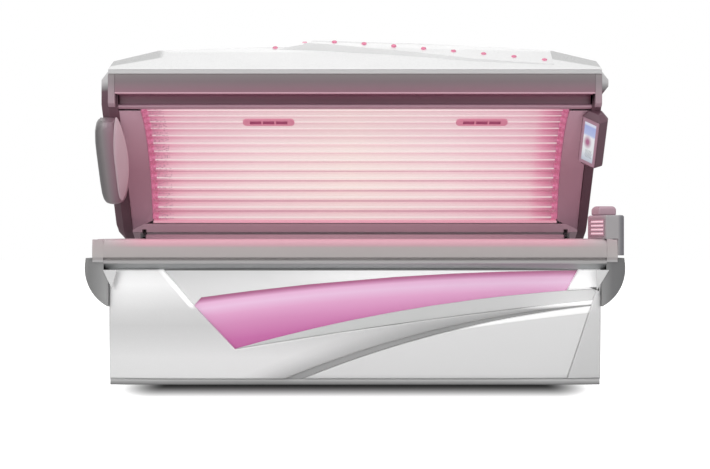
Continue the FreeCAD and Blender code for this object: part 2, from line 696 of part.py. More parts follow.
def build_bench():
    """Rims round the bench, end caps below them and the lamp trough between them."""
    top = BENCH_TOP
    low = BASE_TOP + SEAT
    roll_start = (RIM_ROLL, top)
    roll_end = (0.0, top - RIM_ROLL)
    lip = top - RIM_BAND
    front_outline = [
        (RIM_DEPTH, low),
        (RIM_DEPTH, top - RIM_EASE[1]),
        (RIM_DEPTH - RIM_EASE[0], top),
        roll_start,
        bow(roll_start, roll_end, -ROLL_BOW * RIM_ROLL),
        (0.0, lip + RIM_GROOVE_EASE),
        (RIM_GROOVE, lip),
        (RIM_GROOVE, lip - RIM_GROOVE_FOOT),
        (RIM_BEAD_FACE[0], lip - RIM_BEAD_DROP[0]),
        (RIM_BEAD_FACE[1], lip - RIM_BEAD_DROP[1]),
        (RIM_UNDERSIDE, low),
    ]
    half_front = HALF_RIM - RIM_CORNER
    front = tube_prism("yz", front_outline, SHELL_WALL, -half_front, half_front)
    ledge = box((-half_front, half_front), (RIM_DEPTH - 1, FRAME_FRONT + RIM_LEDGE), (low, low + PANEL_WALL))
    front = front.fuse(ledge).removeSplitter()
    add("bench_front_rim", front)

    rear_y = BENCH_REAR_RIM_Y
    rear_top = top + REAR_RIM_RISE
    rear_outline = [
        (rear_y, top - REAR_RIM_SKIRT),
        (rear_y, rear_top - REAR_RIM_EASE),
        (rear_y + REAR_RIM_EASE, rear_top),
        (FRAME_REAR - REAR_RIM_EASE, rear_top),
        (FRAME_REAR, rear_top - REAR_RIM_EASE),
        (FRAME_REAR, low),
        (FRAME_REAR - REAR_RIM_FOOT, low),
        (FRAME_REAR - REAR_RIM_FOOT, top - REAR_RIM_STEP),
    ]
    rear = tube_prism("yz", rear_outline, SHELL_WALL, -REAR_RIM_HALF, REAR_RIM_HALF)
    add("bench_rear_rim", rear)

    side_roll_start = (HALF_RIM, top - RIM_ROLL)
    side_roll_end = (HALF_RIM - RIM_ROLL, top)
    floor = top - END_RIM_FLOOR
    step_x = HALF_BASE + CAP_NOTCH
    end_outline = [
        (END_RIM_INNER, low),
        (step_x, low),
        (step_x, floor),
        (HALF_RIM, floor),
        side_roll_start,
        bow(side_roll_start, side_roll_end, -ROLL_BOW * RIM_ROLL),
        (END_RIM_INNER + RIM_EASE[0], top),
        (END_RIM_INNER, top - RIM_EASE[1]),
    ]
    end_rim = tube_prism("xz", end_outline, SHELL_WALL, 0.0, END_RIM_REAR)
    corner = box((0, half_front + SEAT), (-1, FRAME_FRONT + RIM_LEDGE + SEAT), (0, top + 1))
    end_rim = end_rim.cut(corner)
    add("bench_end_rims", both_sides(end_rim))

    wall_x = HALF_BASE + SEAT
    cap_top = floor - SEAT
    cap_low = cap_top - CAP_DROP
    hull_start = (HALF_BENCH, cap_top - CAP_LIP)
    hull_end = (wall_x, cap_low)
    hull = [
        (wall_x, low - SEAM),
        (step_x + SEAT, low - SEAM),
        (step_x + SEAT, cap_top),
        (HALF_BENCH, cap_top),
        hull_start,
        bow(hull_start, hull_end, CAP_BULGE),
    ]
    cap = prism("xz", hull, CAP_FRONT, CAP_REAR)
    cap = cap.cut(inset_prism("xz", hull, SHELL_WALL, CAP_FRONT + SHELL_WALL, CAP_REAR - SHELL_WALL))
    notch = box((0, half_front + SEAT), (0, FRAME_FRONT + RIM_LEDGE + SEAT), (low - SEAM, top))
    add("end_caps", both_sides(cap.cut(notch)))

    trough = bench_trough()
    plate_x = (HALF_FRAME - SHEET_WALL, HALF_FRAME)
    plate = box(plate_x, (RIM_DEPTH + SEAT, rear_y - SEAT), (BASE_TOP - END_RAIL_DROP, top))
    above = Part.makeCylinder(
        trough.radius + ACRYLIC_WALL + SEAT,
        4 * SHEET_WALL,
        FreeCAD.Vector(plate_x[0] - SHEET_WALL, trough.centre[0], trough.centre[1]),
        FreeCAD.Vector(1, 0, 0),
    )
    plate = plate.cut(above).cut(PIECES["base_frame"]).cut(front).cut(rear)
    add("bench_end_plates", both_sides(plate))
    half = plate_x[0] - SEAT
    holder_space = trough.HOLDER_DEPTH + 2 * SEAT
    add("bench_acrylic", trough.acrylic(HALF_FRAME))
    add("bench_reflector", trough.reflector(half))
    add("bench_lamps", trough.tubes(half - holder_space))
    add("bench_lampholders", trough.holders(half - holder_space))


# Head unit on the right end of the bench
HEAD_FRONT_X = HALF_RIM - 51.0
HEAD_REAR_X = HALF_RIM - 99.0
HEAD_OUTER_X = HALF_BENCH - 4.0
HEAD_DEPTH = 195.0
HEAD_HEIGHT = 102.0
HEAD_SKIRT = 70.0
HEAD_ROUND = 9.0
HEAD_CAP_HEIGHT = 40.0
HEAD_CAP_FRONT = 112.0
HEAD_CAP_MARGIN = 14.0
HEAD_CAP_TAPER = 10.0
VENT_MARGIN = 18.0
VENT_LOW = 12.0
VENT_HIGH = 16.0
VENT_SLOTS = 4
VENT_SLOT = 8.0
VENT_PITCH = 17.0
VENT_PROUD = 2.0


def build_head_unit():
    """Blower head with its raised cap, slotted vent and light diffuser."""
    low = BENCH_TOP + SEAT
    top = BENCH_TOP + HEAD_HEIGHT
    plan = [(HEAD_FRONT_X, 0.0), (HEAD_OUTER_X, 0.0), (HEAD_OUTER_X, HEAD_DEPTH), (HEAD_REAR_X, HEAD_DEPTH)]
    body = prism("xy", plan, low, top)
    rounded = [edge for edge in body.Edges if edge.BoundBox.ZMin > top - SEAT]
    body = body.makeFillet(HEAD_ROUND, rounded)
    hollow = inset_prism("xy", plan, SHELL_WALL, low - 1, top - SHELL_WALL)
    skirt_z = (BENCH_TOP - HEAD_SKIRT, low + SHELL_WALL)
    skirt = box((HALF_RIM + SEAT, HEAD_OUTER_X), (0.0, HEAD_DEPTH), skirt_z)
    housing = body.cut(hollow).fuse(skirt).removeSplitter()

    run = (HEAD_REAR_X - HEAD_FRONT_X, HEAD_DEPTH)
    face_length = math.hypot(run[0], run[1])
    turn = math.degrees(math.atan2(run[1], run[0]))

    def on_face(shape):
        """Move a shape drawn along X, facing +Y, to the vent face."""
        shape.rotate(FreeCAD.Vector(0, 0, 0), FreeCAD.Vector(0, 0, 1), turn)
        shape.translate(FreeCAD.Vector(HEAD_FRONT_X, 0.0, 0.0))
        return shape

    along = (VENT_MARGIN, face_length - VENT_MARGIN)
    height = (BENCH_TOP + VENT_LOW, top - VENT_HIGH)
    opening = on_face(box(along, (-2 * SHELL_WALL, SHELL_WALL), height))
    add("head_unit_housing", housing.cut(opening))

    fit = SEAT
    plate = box(
        (along[0] + fit, along[1] - fit),
        (-SHELL_WALL, VENT_PROUD),
        (height[0] + fit, height[1] - fit),
    )
    middle = (height[0] + height[1]) / 2
    slot_x = (along[0] + VENT_SLOT, along[1] - VENT_SLOT)
    for number in range(VENT_SLOTS):
        z = middle + (number - (VENT_SLOTS - 1) / 2) * VENT_PITCH
        slot_z = (z - VENT_SLOT / 2, z + VENT_SLOT / 2)
        plate = plate.cut(box(slot_x, (-2 * SHELL_WALL, 2 * VENT_PROUD), slot_z))
    add("head_vent_grille", on_face(plate))
    lap = SHELL_WALL
    diffuser = box(
        (along[0] - lap, along[1] + lap),
        (-SHELL_WALL - fit - SHEET_WALL, -SHELL_WALL - fit),
        (height[0] - lap, height[1] + lap),
    )
    add("head_vent_diffuser", on_face(diffuser))

    share = HEAD_CAP_FRONT / HEAD_DEPTH
    cap_front_x = HEAD_FRONT_X + share * run[0] + HEAD_CAP_MARGIN
    cap_rear = HEAD_DEPTH - SHELL_WALL
    cap_rear_x = HEAD_REAR_X + HEAD_CAP_MARGIN
    cap_outer = HEAD_OUTER_X - HEAD_CAP_MARGIN
    cap_plan = [
        (cap_front_x, HEAD_CAP_FRONT),
        (cap_outer, HEAD_CAP_FRONT),
        (cap_outer, cap_rear),
        (cap_rear_x, cap_rear),
    ]
    cap = prism("xy", cap_plan, top + SEAT, top + HEAD_CAP_HEIGHT)
    crown = [edge for edge in cap.Edges if edge.BoundBox.ZMin > top + HEAD_CAP_HEIGHT - SEAT]
    add("head_unit_cap", cap.makeChamfer(HEAD_CAP_TAPER, crown))


# Canopy section, measured from the hinge, with the canopy open
CANOPY_LIP = (-486.0, 794.0)
CANOPY_BROW = (-320.0, 891.0)
CANOPY_CREST = (-165.0, 956.0)
CANOPY_NAPE = (30.0, 825.0)
CANOPY_BACK = (207.0, 578.0)
CANOPY_HEEL = (300.0, 265.0)
CANOPY_TUCK = (240.0, 90.0)
CANOPY_REAR_FOOT = (125.0, 10.0)
CANOPY_REAR_LIP = (16.0, 57.0)
FIELD_TOP = (-422.0, 616.0)
FIELD_FOOT = (20.0, 98.0)
FIELD_RISE = 90.0
FIELD_LAMP_EDGE = 31.0
FASCIA_Y = -480.0
FASCIA_TOP_Z = 775.0
FASCIA_WALL = 6.0
STRIP_PROUD = (3.0, 5.0)
STRIP_DEPTH = 16.0
FASCIA_CAP_EASE = 14.0
FASCIA_CAP_WIDTH = 31.0
FASCIA_CAP_DEPTH = 40.0
FRONT_EDGE_Z = 626.0
ARCH_TOP_Z = 922.0
ARCH_SHOULDER_Z = 900.0
ARCH_SHOULDER_INSET = 205.0
END_LEAN = 15.0
END_RISE = 46.0
CROWN_LIFT = 26.0
CROWN_FORWARD = 6.0
CROWN_TIP_INSET = 766.0
CROWN_RAMP_INSET = 880.0
CROWN_RIDGE_INSET = 1010.0
CROWN_NAPE_INSET = 1260.0
CROWN_WAIST_INSET = 1000.0
CROWN_FLANK_INSET = 600.0
CROWN_END_INSET = 215.0
CROWN_START_X = -HALF_CANOPY + CROWN_TIP_INSET
CROWN_RAMP_X = -HALF_CANOPY + CROWN_RAMP_INSET
CROWN_RIDGE_X = -HALF_CANOPY + CROWN_RIDGE_INSET
CROWN_NAPE_X = -HALF_CANOPY + CROWN_NAPE_INSET
CROWN_WAIST_X = HALF_CANOPY - CROWN_WAIST_INSET
CROWN_FLANK_X = HALF_CANOPY - CROWN_FLANK_INSET
CROWN_END_X = HALF_CANOPY - CROWN_END_INSET
CROWN_TIP_RISE = 1.5
CROWN_RAMP_RISE = 22.0
CROWN_TIP_Y = -303.0
CROWN_RIDGE_Y = -150.0
CROWN_WAIST_Y = -336.0
CROWN_FLANK_Y = -404.0
CROWN_END_Y = -440.0
CROWN_BACK_Y = -60.0
LED_COUNT = 10
LED_FIRST_INSET = 751.0
LED_LAST_INSET = 253.0
LED_FIRST_X = -HALF_CANOPY + LED_FIRST_INSET
LED_LAST_X = HALF_CANOPY - LED_LAST_INSET
LED_LINE_Y = -293.0
LED_SWEEP = 112.0
LED_RADIUS = 9.0
LED_HEIGHT = 6.0
LED_CREST = 5.4
LED_LIFT = 0.6
SIDE_COVER_START = HALF_CANOPY - 41.0
SIDE_COVER_RIM = HALF_CANOPY + 2.0
SIDE_COVER_END = HALF_CANOPY + 42.0
SIDE_COVER_DOME = 45.0
SIDE_COVER_FIT = 4.5
GRIP_BACK_Y = -412.0
GRIP_TOP_Z = 690.0
GRIP_LOW_Z = 642.0
LIP_FRONT_Y = -441.0
LIP_RISE = (10.0, 3.0, 9.0)
LIP_LAP = 4.0
GRIP_WALL = 3.0
RIB_X = SIDE_COVER_START - 6.0
RIB_WALL = 4.0
RIB_FRONT = -400.0
RIB_FIELD_GAP = 12.0
RIB_LIP_GAP = 20.0
RIB_FOOT = (70.0, 20.0)
LOW_BEAM = (110.0, 110.0)
HIGH_BEAM = (-330.0, 755.0)
END_WALL_TOP = (-420.0, 612.0)
END_WALL_FOOT = (18.0, 66.0)
END_WALL_RISE = 14.0
END_WALL_TRIM = 0.02
END_WALL_SKEW = 1.5
END_PLATE_TRIM = 0.03
NOZZLE_SIZE = (240.0, 36.0)
NOZZLE_MIDDLE_X = 94.0
NOZZLE_SPREAD = 495.0
NOZZLE_DOWN = 112.0
NOZZLE_HEIGHT = 7.0
NOZZLE_FLOOR = 2.0
NOZZLE_SLOT = (52.0, 16.0)
NOZZLE_SLOT_GAP = 9.0


def at_hinge(steps):
    """Outline measured from the hinge, moved to where the hinge is."""
    moved = []
    for step in steps:
        if isinstance(step[0], tuple):
            moved.append(tuple((y + HINGE_Y, z + HINGE_Z) for y, z in step))
        else:
            moved.append((step[0] + HINGE_Y, step[1] + HINGE_Z))
    return moved


def sheet(steps, wall, half):
    """Sheet of one wall along an open path from the hinge, as long as twice half."""
    face = wire("yz", -half, at_hinge(steps), closed=False).makeOffset2D(wall, 2, True, True)
    return face.extrude(FreeCAD.Vector(2 * half, 0, 0))


def canopy_trough():
    """Lamp trough of the canopy, drawn from its top edge down to its foot."""
    top, foot = at_hinge([FIELD_TOP, FIELD_FOOT])
    return LampTrough(top, foot, FIELD_RISE, CANOPY_LAMPS, FIELD_LAMP_EDGE)


def cover_arch(drop, half):
    """Front outline of the top cover: leaning ends, sloped shoulders and an arched crest."""
    base = HINGE_Z
    lip = base + CANOPY_LIP[1]
    lean_z = lip + END_RISE - drop
    shoulder = (half - ARCH_SHOULDER_INSET, base + ARCH_SHOULDER_Z - drop)
    low = lip - END_RISE
    outline = [
        (-half, low),
        (-half, lip),
        (-half + END_LEAN, lean_z),
        (-shoulder[0], shoulder[1]),
        ((0.0, base + ARCH_TOP_Z - drop), shoulder),
        (half - END_LEAN, lean_z),
        (half, lip),
        (half, low),
    ]
    return prism("xz", outline, HINGE_Y + 2 * CANOPY_LIP[0], HINGE_Y - CANOPY_LIP[0])


def height_on(shape, x, y):
    """Height of a shape over a place in plan."""
    line = Part.makeLine(FreeCAD.Vector(x, y, HINGE_Z), FreeCAD.Vector(x, y, 3 * HINGE_Z))
    return line.common(shape).BoundBox.ZMax


def build_canopy_covers():
    """Top cover with its raised crown and lights, back and bottom covers, fascia and grip."""
    outline = at_hinge([CANOPY_LIP, CANOPY_BROW, (CANOPY_CREST, CANOPY_NAPE)])
    half = HALF_CANOPY
    solid = prism("yz", outline, -half, half).common(cover_arch(0.0, half))
    inner = half - SHELL_WALL
    hollow = inset_prism("yz", outline, SHELL_WALL, -inner, inner).common(cover_arch(SHELL_WALL, inner))
    flange = 8 * SHELL_WALL
    mouth = [
        (CANOPY_LIP[0] + flange, CANOPY_LIP[1] - flange),
        (CANOPY_NAPE[0] - flange, CANOPY_NAPE[1] - flange),
        (CANOPY_NAPE[0] - flange, CANOPY_NAPE[1] + SHELL_WALL),
        (CANOPY_LIP[0] + flange, CANOPY_LIP[1] + 2 * SHELL_WALL),
    ]
    mouth_half = half - flange - END_LEAN
    cover = solid.cut(hollow).cut(prism("yz", at_hinge(mouth), -mouth_half, mouth_half))
    add("canopy_top_cover", cover)

    lifted = solid.copy()
    fall = math.degrees(math.atan2(CROWN_LIFT, CROWN_END_X - CROWN_RIDGE_X))
    lifted.rotate(FreeCAD.Vector(CROWN_END_X, 0, HINGE_Z + CANOPY_CREST[1]), FreeCAD.Vector(0, 1, 0), fall)
    lifted.translate(FreeCAD.Vector(0, -CROWN_FORWARD, 0))
    plan = [
        (CROWN_START_X, HINGE_Y + CROWN_TIP_Y),
        ((CROWN_WAIST_X, HINGE_Y + CROWN_WAIST_Y), (CROWN_FLANK_X, HINGE_Y + CROWN_FLANK_Y)),
        (CROWN_END_X, HINGE_Y + CROWN_END_Y),
        (CROWN_END_X, HINGE_Y + CROWN_BACK_Y),
        (CROWN_NAPE_X, HINGE_Y + CROWN_BACK_Y),
        (CROWN_RIDGE_X, HINGE_Y + CROWN_RIDGE_Y),
    ]
    tip_z = height_on(solid, CROWN_START_X, HINGE_Y + CROWN_TIP_Y) + CROWN_TIP_RISE
    full_z = HINGE_Z + CANOPY_CREST[1] + CROWN_LIFT
    side = [
        (CROWN_START_X, HINGE_Z),
        (CROWN_START_X, tip_z),
        (CROWN_RAMP_X, tip_z + CROWN_RAMP_RISE),
        (CROWN_RIDGE_X, full_z),
        (CROWN_END_X, full_z),
        (CROWN_END_X, HINGE_Z),
    ]
    crown = lifted.common(prism("xy", plan, HINGE_Z, 2 * (HINGE_Z + ARCH_TOP_Z)))
    crown = crown.common(prism("xz", side, HINGE_Y + CROWN_END_Y, HINGE_Y + CROWN_BACK_Y)).cut(solid)
    crown = max(crown.Solids, key=lambda part: part.Volume)
    add("canopy_crown", crown)

    def height_at(x, y):
        """Height of the cover, or of the crown where that lies on it."""
        line = Part.makeLine(FreeCAD.Vector(x, y, HINGE_Z), FreeCAD.Vector(x, y, 3 * HINGE_Z))
        return height_on(crown if line.distToShape(crown)[0] < SEAT else solid, x, y)

    leds = []
    pitch = (LED_LAST_X - LED_FIRST_X) / (LED_COUNT - 1)
    for number in range(LED_COUNT):
        x = LED_FIRST_X + number * pitch
        y = HINGE_Y + LED_LINE_Y - LED_SWEEP * (number / (LED_COUNT - 1)) ** 2
        front = height_at(x, y - LED_RADIUS)
        rear = height_at(x, y + LED_RADIUS)
        tilt = math.degrees(math.atan2(rear - front, 2 * LED_RADIUS))
        foot = [FreeCAD.Vector(a, b, LED_LIFT) for a, b in polygon(LED_RADIUS)]
        crest = [FreeCAD.Vector(a, b, LED_LIFT + LED_HEIGHT) for a, b in polygon(LED_CREST)]
        led = planar_loft([foot, crest])
        led.rotate(FreeCAD.Vector(0, 0, 0), FreeCAD.Vector(1, 0, 0), tilt)
        seat = max(height_at(x - LED_RADIUS, y), height_at(x + LED_RADIUS, y), (front + rear) / 2)
        led.translate(FreeCAD.Vector(x, y, seat))
        leds.append(led)
    add("crown_leds", Part.makeCompound(leds))

    back = sheet([CANOPY_NAPE, (CANOPY_BACK, CANOPY_HEEL), (CANOPY_TUCK, CANOPY_REAR_FOOT)], SHELL_WALL, half)
    add("canopy_back_cover", back)
    lip_top = (CANOPY_REAR_LIP[0], FIELD_FOOT[1] - SEAT)
    foot = (CANOPY_REAR_FOOT[0] - SEAM, CANOPY_REAR_FOOT[1] + SEAM)
    bottom = sheet([foot, CANOPY_REAR_LIP, lip_top], SHELL_WALL, SIDE_COVER_START - SEAT)
    slot = box(
        (ARM_X - ARM_WALL, ARM_X + ARM_WALL),
        (HINGE_Y - ARM_SLOT_FRONT, HINGE_Y + ARM_SLOT_REAR),
        (HINGE_Z - ARM_SLOT_LOW, HINGE_Z + ARM_SLOT_HIGH),
    )
    bottom = bottom.cut(slot).cut(mirrored(slot))
    add("canopy_bottom_cover", bottom.cut(back))

    fascia_half = half - FASCIA_CAP_WIDTH - SEAT
    fascia_top = FASCIA_TOP_Z
    fascia_low = fascia_top - FASCIA_HEIGHT
    face = [
        (FASCIA_Y, fascia_low),
        (FASCIA_Y, fascia_top),
        (FASCIA_Y + FASCIA_WALL, fascia_top),
        (FASCIA_Y + FASCIA_WALL, fascia_low),
    ]
    add("canopy_fascia", prism("yz", at_hinge(face), -fascia_half, fascia_half))
    strip = [
        (FASCIA_Y - STRIP_PROUD[0], fascia_top + SEAT),
        (FASCIA_Y - STRIP_PROUD[1], CANOPY_LIP[1] - SEAM),
        (FASCIA_Y + STRIP_DEPTH, CANOPY_LIP[1] - SEAM),
        (FASCIA_Y + STRIP_DEPTH, fascia_top + SEAT),
    ]
    add("fascia_trim_strip", prism("yz", at_hinge(strip), -half + SHEET_WALL, half - SHEET_WALL))
    cap = [
        (FASCIA_Y, fascia_top),
        (FASCIA_Y, FRONT_EDGE_Z + FASCIA_CAP_EASE),
        (FASCIA_Y + FASCIA_CAP_EASE, FRONT_EDGE_Z),
        (FASCIA_Y + FASCIA_CAP_DEPTH, FRONT_EDGE_Z),
        (FASCIA_Y + FASCIA_CAP_DEPTH, fascia_top),
    ]
    add("fascia_end_caps", both_sides(prism("yz", at_hinge(cap), half - FASCIA_CAP_WIDTH, half)))

    grip = [
        (FASCIA_Y, fascia_low - SEAT - GRIP_WALL),
        (GRIP_BACK_Y, GRIP_TOP_Z - 2 * GRIP_WALL),
        (GRIP_BACK_Y, GRIP_LOW_Z),
        (LIP_FRONT_Y, GRIP_LOW_Z - GRIP_WALL),
    ]
    grip_half = SIDE_COVER_START - SEAT
    add("grip_channel", sheet(grip, -GRIP_WALL, grip_half))
    lip = [
        (LIP_FRONT_Y, GRIP_LOW_Z - 2 * GRIP_WALL - SEAT),
        (LIP_FRONT_Y, FIELD_TOP[1] + LIP_RISE[0]),
        (FIELD_TOP[0] - LIP_LAP, FIELD_TOP[1] + LIP_RISE[1]),
        (GRIP_BACK_Y, FIELD_TOP[1] + LIP_RISE[2]),
        (GRIP_BACK_Y, GRIP_LOW_Z - 2 * GRIP_WALL - SEAT),
    ]
    add("canopy_inner_lip", prism("yz", at_hinge(lip), -grip_half, grip_half))


def side_outline():
    """Closed outline of a canopy end, inside the back cover and under the top cover."""
    front_y = FASCIA_Y + FASCIA_CAP_DEPTH + SEAT - SIDE_COVER_FIT
    return at_hinge(
        [
            (front_y, FRONT_EDGE_Z),
            (front_y, CANOPY_LIP[1] + SIDE_COVER_FIT - SEAM),
            CANOPY_NAPE,
            (CANOPY_BACK, CANOPY_HEEL),
            (CANOPY_TUCK, CANOPY_REAR_FOOT),
            CANOPY_REAR_LIP,
        ]
    )


def build_canopy_ends():
    """Flared inner end walls and domed side covers."""
    trough = canopy_trough()
    trim = END_WALL_TRIM
    inner_steps = trough.band(trough.radius, trough.radius + SHELL_WALL, trim, 1 - trim)
    inner = wire("yz", HALF_LAMPS + SEAT, inner_steps)
    edge_top, edge_foot = at_hinge([END_WALL_TOP, END_WALL_FOOT])
    back_top = (edge_top[0] + SHELL_WALL, edge_top[1] + END_WALL_SKEW)
    back_foot = (edge_foot[0] + SHELL_WALL, edge_foot[1] + END_WALL_SKEW)
    outer_steps = [
        edge_top,
        bow(edge_top, edge_foot, END_WALL_RISE),
        back_foot,
        bow(back_foot, back_top, -END_WALL_RISE),
    ]
    outer = wire("yz", SIDE_COVER_START - SEAT, outer_steps)
    wall = Part.makeLoft([inner, outer], True, True)
    wall = wall.cut(PIECES["canopy_inner_lip"]).cut(PIECES["canopy_bottom_cover"])
    wall = max(wall.Solids, key=lambda part: part.Volume)
    add("canopy_end_walls", both_sides(wall))

    outline = side_outline()
    rim = SIDE_COVER_RIM
    end = SIDE_COVER_END
    fit = SIDE_COVER_FIT
    dome = SIDE_COVER_DOME
    wall = SHELL_WALL

    def lid(extra, start, stop):
        """Straight rim and tapered dome, moved inwards by a further wall."""
        straight = inset_prism("yz", outline, fit + extra, start, rim)
        taper = [inset("yz", rim, outline, fit + extra), inset("yz", stop, outline, dome + extra)]
        return straight.fuse(Part.makeLoft(taper, True, True))

    cover = lid(0.0, SIDE_COVER_START, end).cut(lid(wall, SIDE_COVER_START - 1, end - wall))
    add("side_covers", both_sides(cover))


def build_canopy_lamps():
    """Lamps, holders, reflector, acrylic and air nozzles of the canopy."""
    trough = canopy_trough()
    trim = END_PLATE_TRIM
    near = trough.radius + ACRYLIC_WALL + SEAT
    far = trough.mirror_radius + 4 * SHEET_WALL
    plate = prism("yz", trough.band(near, far, trim, 1 - trim), HALF_LAMPS - SHEET_WALL, HALF_LAMPS)
    add("canopy_end_plates", both_sides(plate))
    half = HALF_LAMPS - SHEET_WALL - SEAT
    holder_space = trough.HOLDER_DEPTH + 2 * SEAT
    add("canopy_acrylic", trough.acrylic(HALF_LAMPS))
    add("canopy_reflector", trough.reflector(half))
    add("canopy_lamps", trough.tubes(half - holder_space))
    add("canopy_lampholders", trough.holders(half - holder_space))

    long, tall = NOZZLE_SIZE
    body = box((-long / 2 + tall / 2, long / 2 - tall / 2), (-tall / 2, tall / 2), (0, NOZZLE_HEIGHT))
    for end_x in (-long / 2 + tall / 2, long / 2 - tall / 2):
        body = body.fuse(Part.makeCylinder(tall / 2, NOZZLE_HEIGHT, FreeCAD.Vector(end_x, 0, 0)))
    body = body.removeSplitter()
    slot_long, slot_tall = NOZZLE_SLOT
    for number in (-1, 0, 1):
        x = number * (slot_long + NOZZLE_SLOT_GAP)
        slot_x = (x - slot_long / 2, x + slot_long / 2)
        body = body.cut(box(slot_x, (-slot_tall / 2, slot_tall / 2), (NOZZLE_FLOOR, 2 * NOZZLE_HEIGHT)))
    down = NOZZLE_DOWN / (trough.radius * abs(trough.sweep))
    seat_y, seat_z = trough.point(trough.radius - SEAT, down)
    facing = math.degrees(math.atan2(trough.centre[1] - seat_z, trough.centre[0] - seat_y)) - 90
    nozzles = []
    for x in (NOZZLE_MIDDLE_X - NOZZLE_SPREAD, NOZZLE_MIDDLE_X + NOZZLE_SPREAD):
        nozzle = body.copy()
        nozzle.rotate(FreeCAD.Vector(0, 0, 0), FreeCAD.Vector(1, 0, 0), facing)
        nozzle.translate(FreeCAD.Vector(x, seat_y, seat_z))
        nozzles.append(nozzle)
    add("air_nozzles", Part.makeCompound(nozzles))


# Hinges, arms and gas springs
ARM_X = HALF_FRAME + 40.0
REAR_RIM_HALF = ARM_X - 18.0
ARM_WALL = 10.0
ARM_HEEL = (-20.0, 12.0)
ARM_TOE = (18.0, -16.0)
ARM_HEAD = 16.0
ARM_SLOT_FRONT = 40.0
ARM_SLOT_REAR = 200.0
ARM_SLOT_LOW = 40.0
ARM_SLOT_HIGH = 70.0
CLEVIS_WALL = 6.0
BRACKET_HALF = 17.0
HINGE_PIN_RADIUS = 10.0
HINGE_EYE_RADIUS = 24.0
LEVER_LENGTH = 75.0
LEVER_ANGLE = 152.5
LEVER_EYE_RADIUS = 14.0
SPRING_X = ARM_X - 12.0
SPRING_ANCHOR_Y = FRAME_REAR - 62.0
SPRING_PIN_RADIUS = 5.0
SPRING_EYE_RADIUS = 12.0
SPRING_EYE_WIDTH = 9.0
SPRING_EYE_PLAY = 0.9
CYLINDER_RADIUS = 12.0
CYLINDER_FOOT = 10.0
CYLINDER_TOP = 128.0
ROD_RADIUS = 5.0
ROD_LENGTH = 100.0


def lever_tip(lowered=0.0):
    """Pin at the end of the gas spring lever, with the canopy lowered by an angle."""
    angle = math.radians(LEVER_ANGLE + lowered)
    return (HINGE_Y + LEVER_LENGTH * math.cos(angle), HINGE_Z + LEVER_LENGTH * math.sin(angle))


def spring_anchor():
    """Lower pin of the gas spring, on the end rail of the frame."""
    return (SPRING_ANCHOR_Y, BASE_TOP - END_RAIL_DROP - TUBE / 2)


def spring_line(lowered):
    """Length and lean of the gas spring between its two pins, with the canopy lowered by an angle."""
    low_y, low_z = spring_anchor()
    tip_y, tip_z = lever_tip(lowered)
    length = math.hypot(tip_y - low_y, tip_z - low_z)
    return length, math.atan2(low_y - tip_y, tip_z - low_z)


def eye_drift():
    """How far the lever pin strays sideways from an evenly turning spring, half way down."""
    length, lean = spring_line(CLOSING_ANGLE / 2)
    even_lean = (spring_line(0.0)[1] + spring_line(CLOSING_ANGLE)[1]) / 2
    return length * math.sin(even_lean - lean)


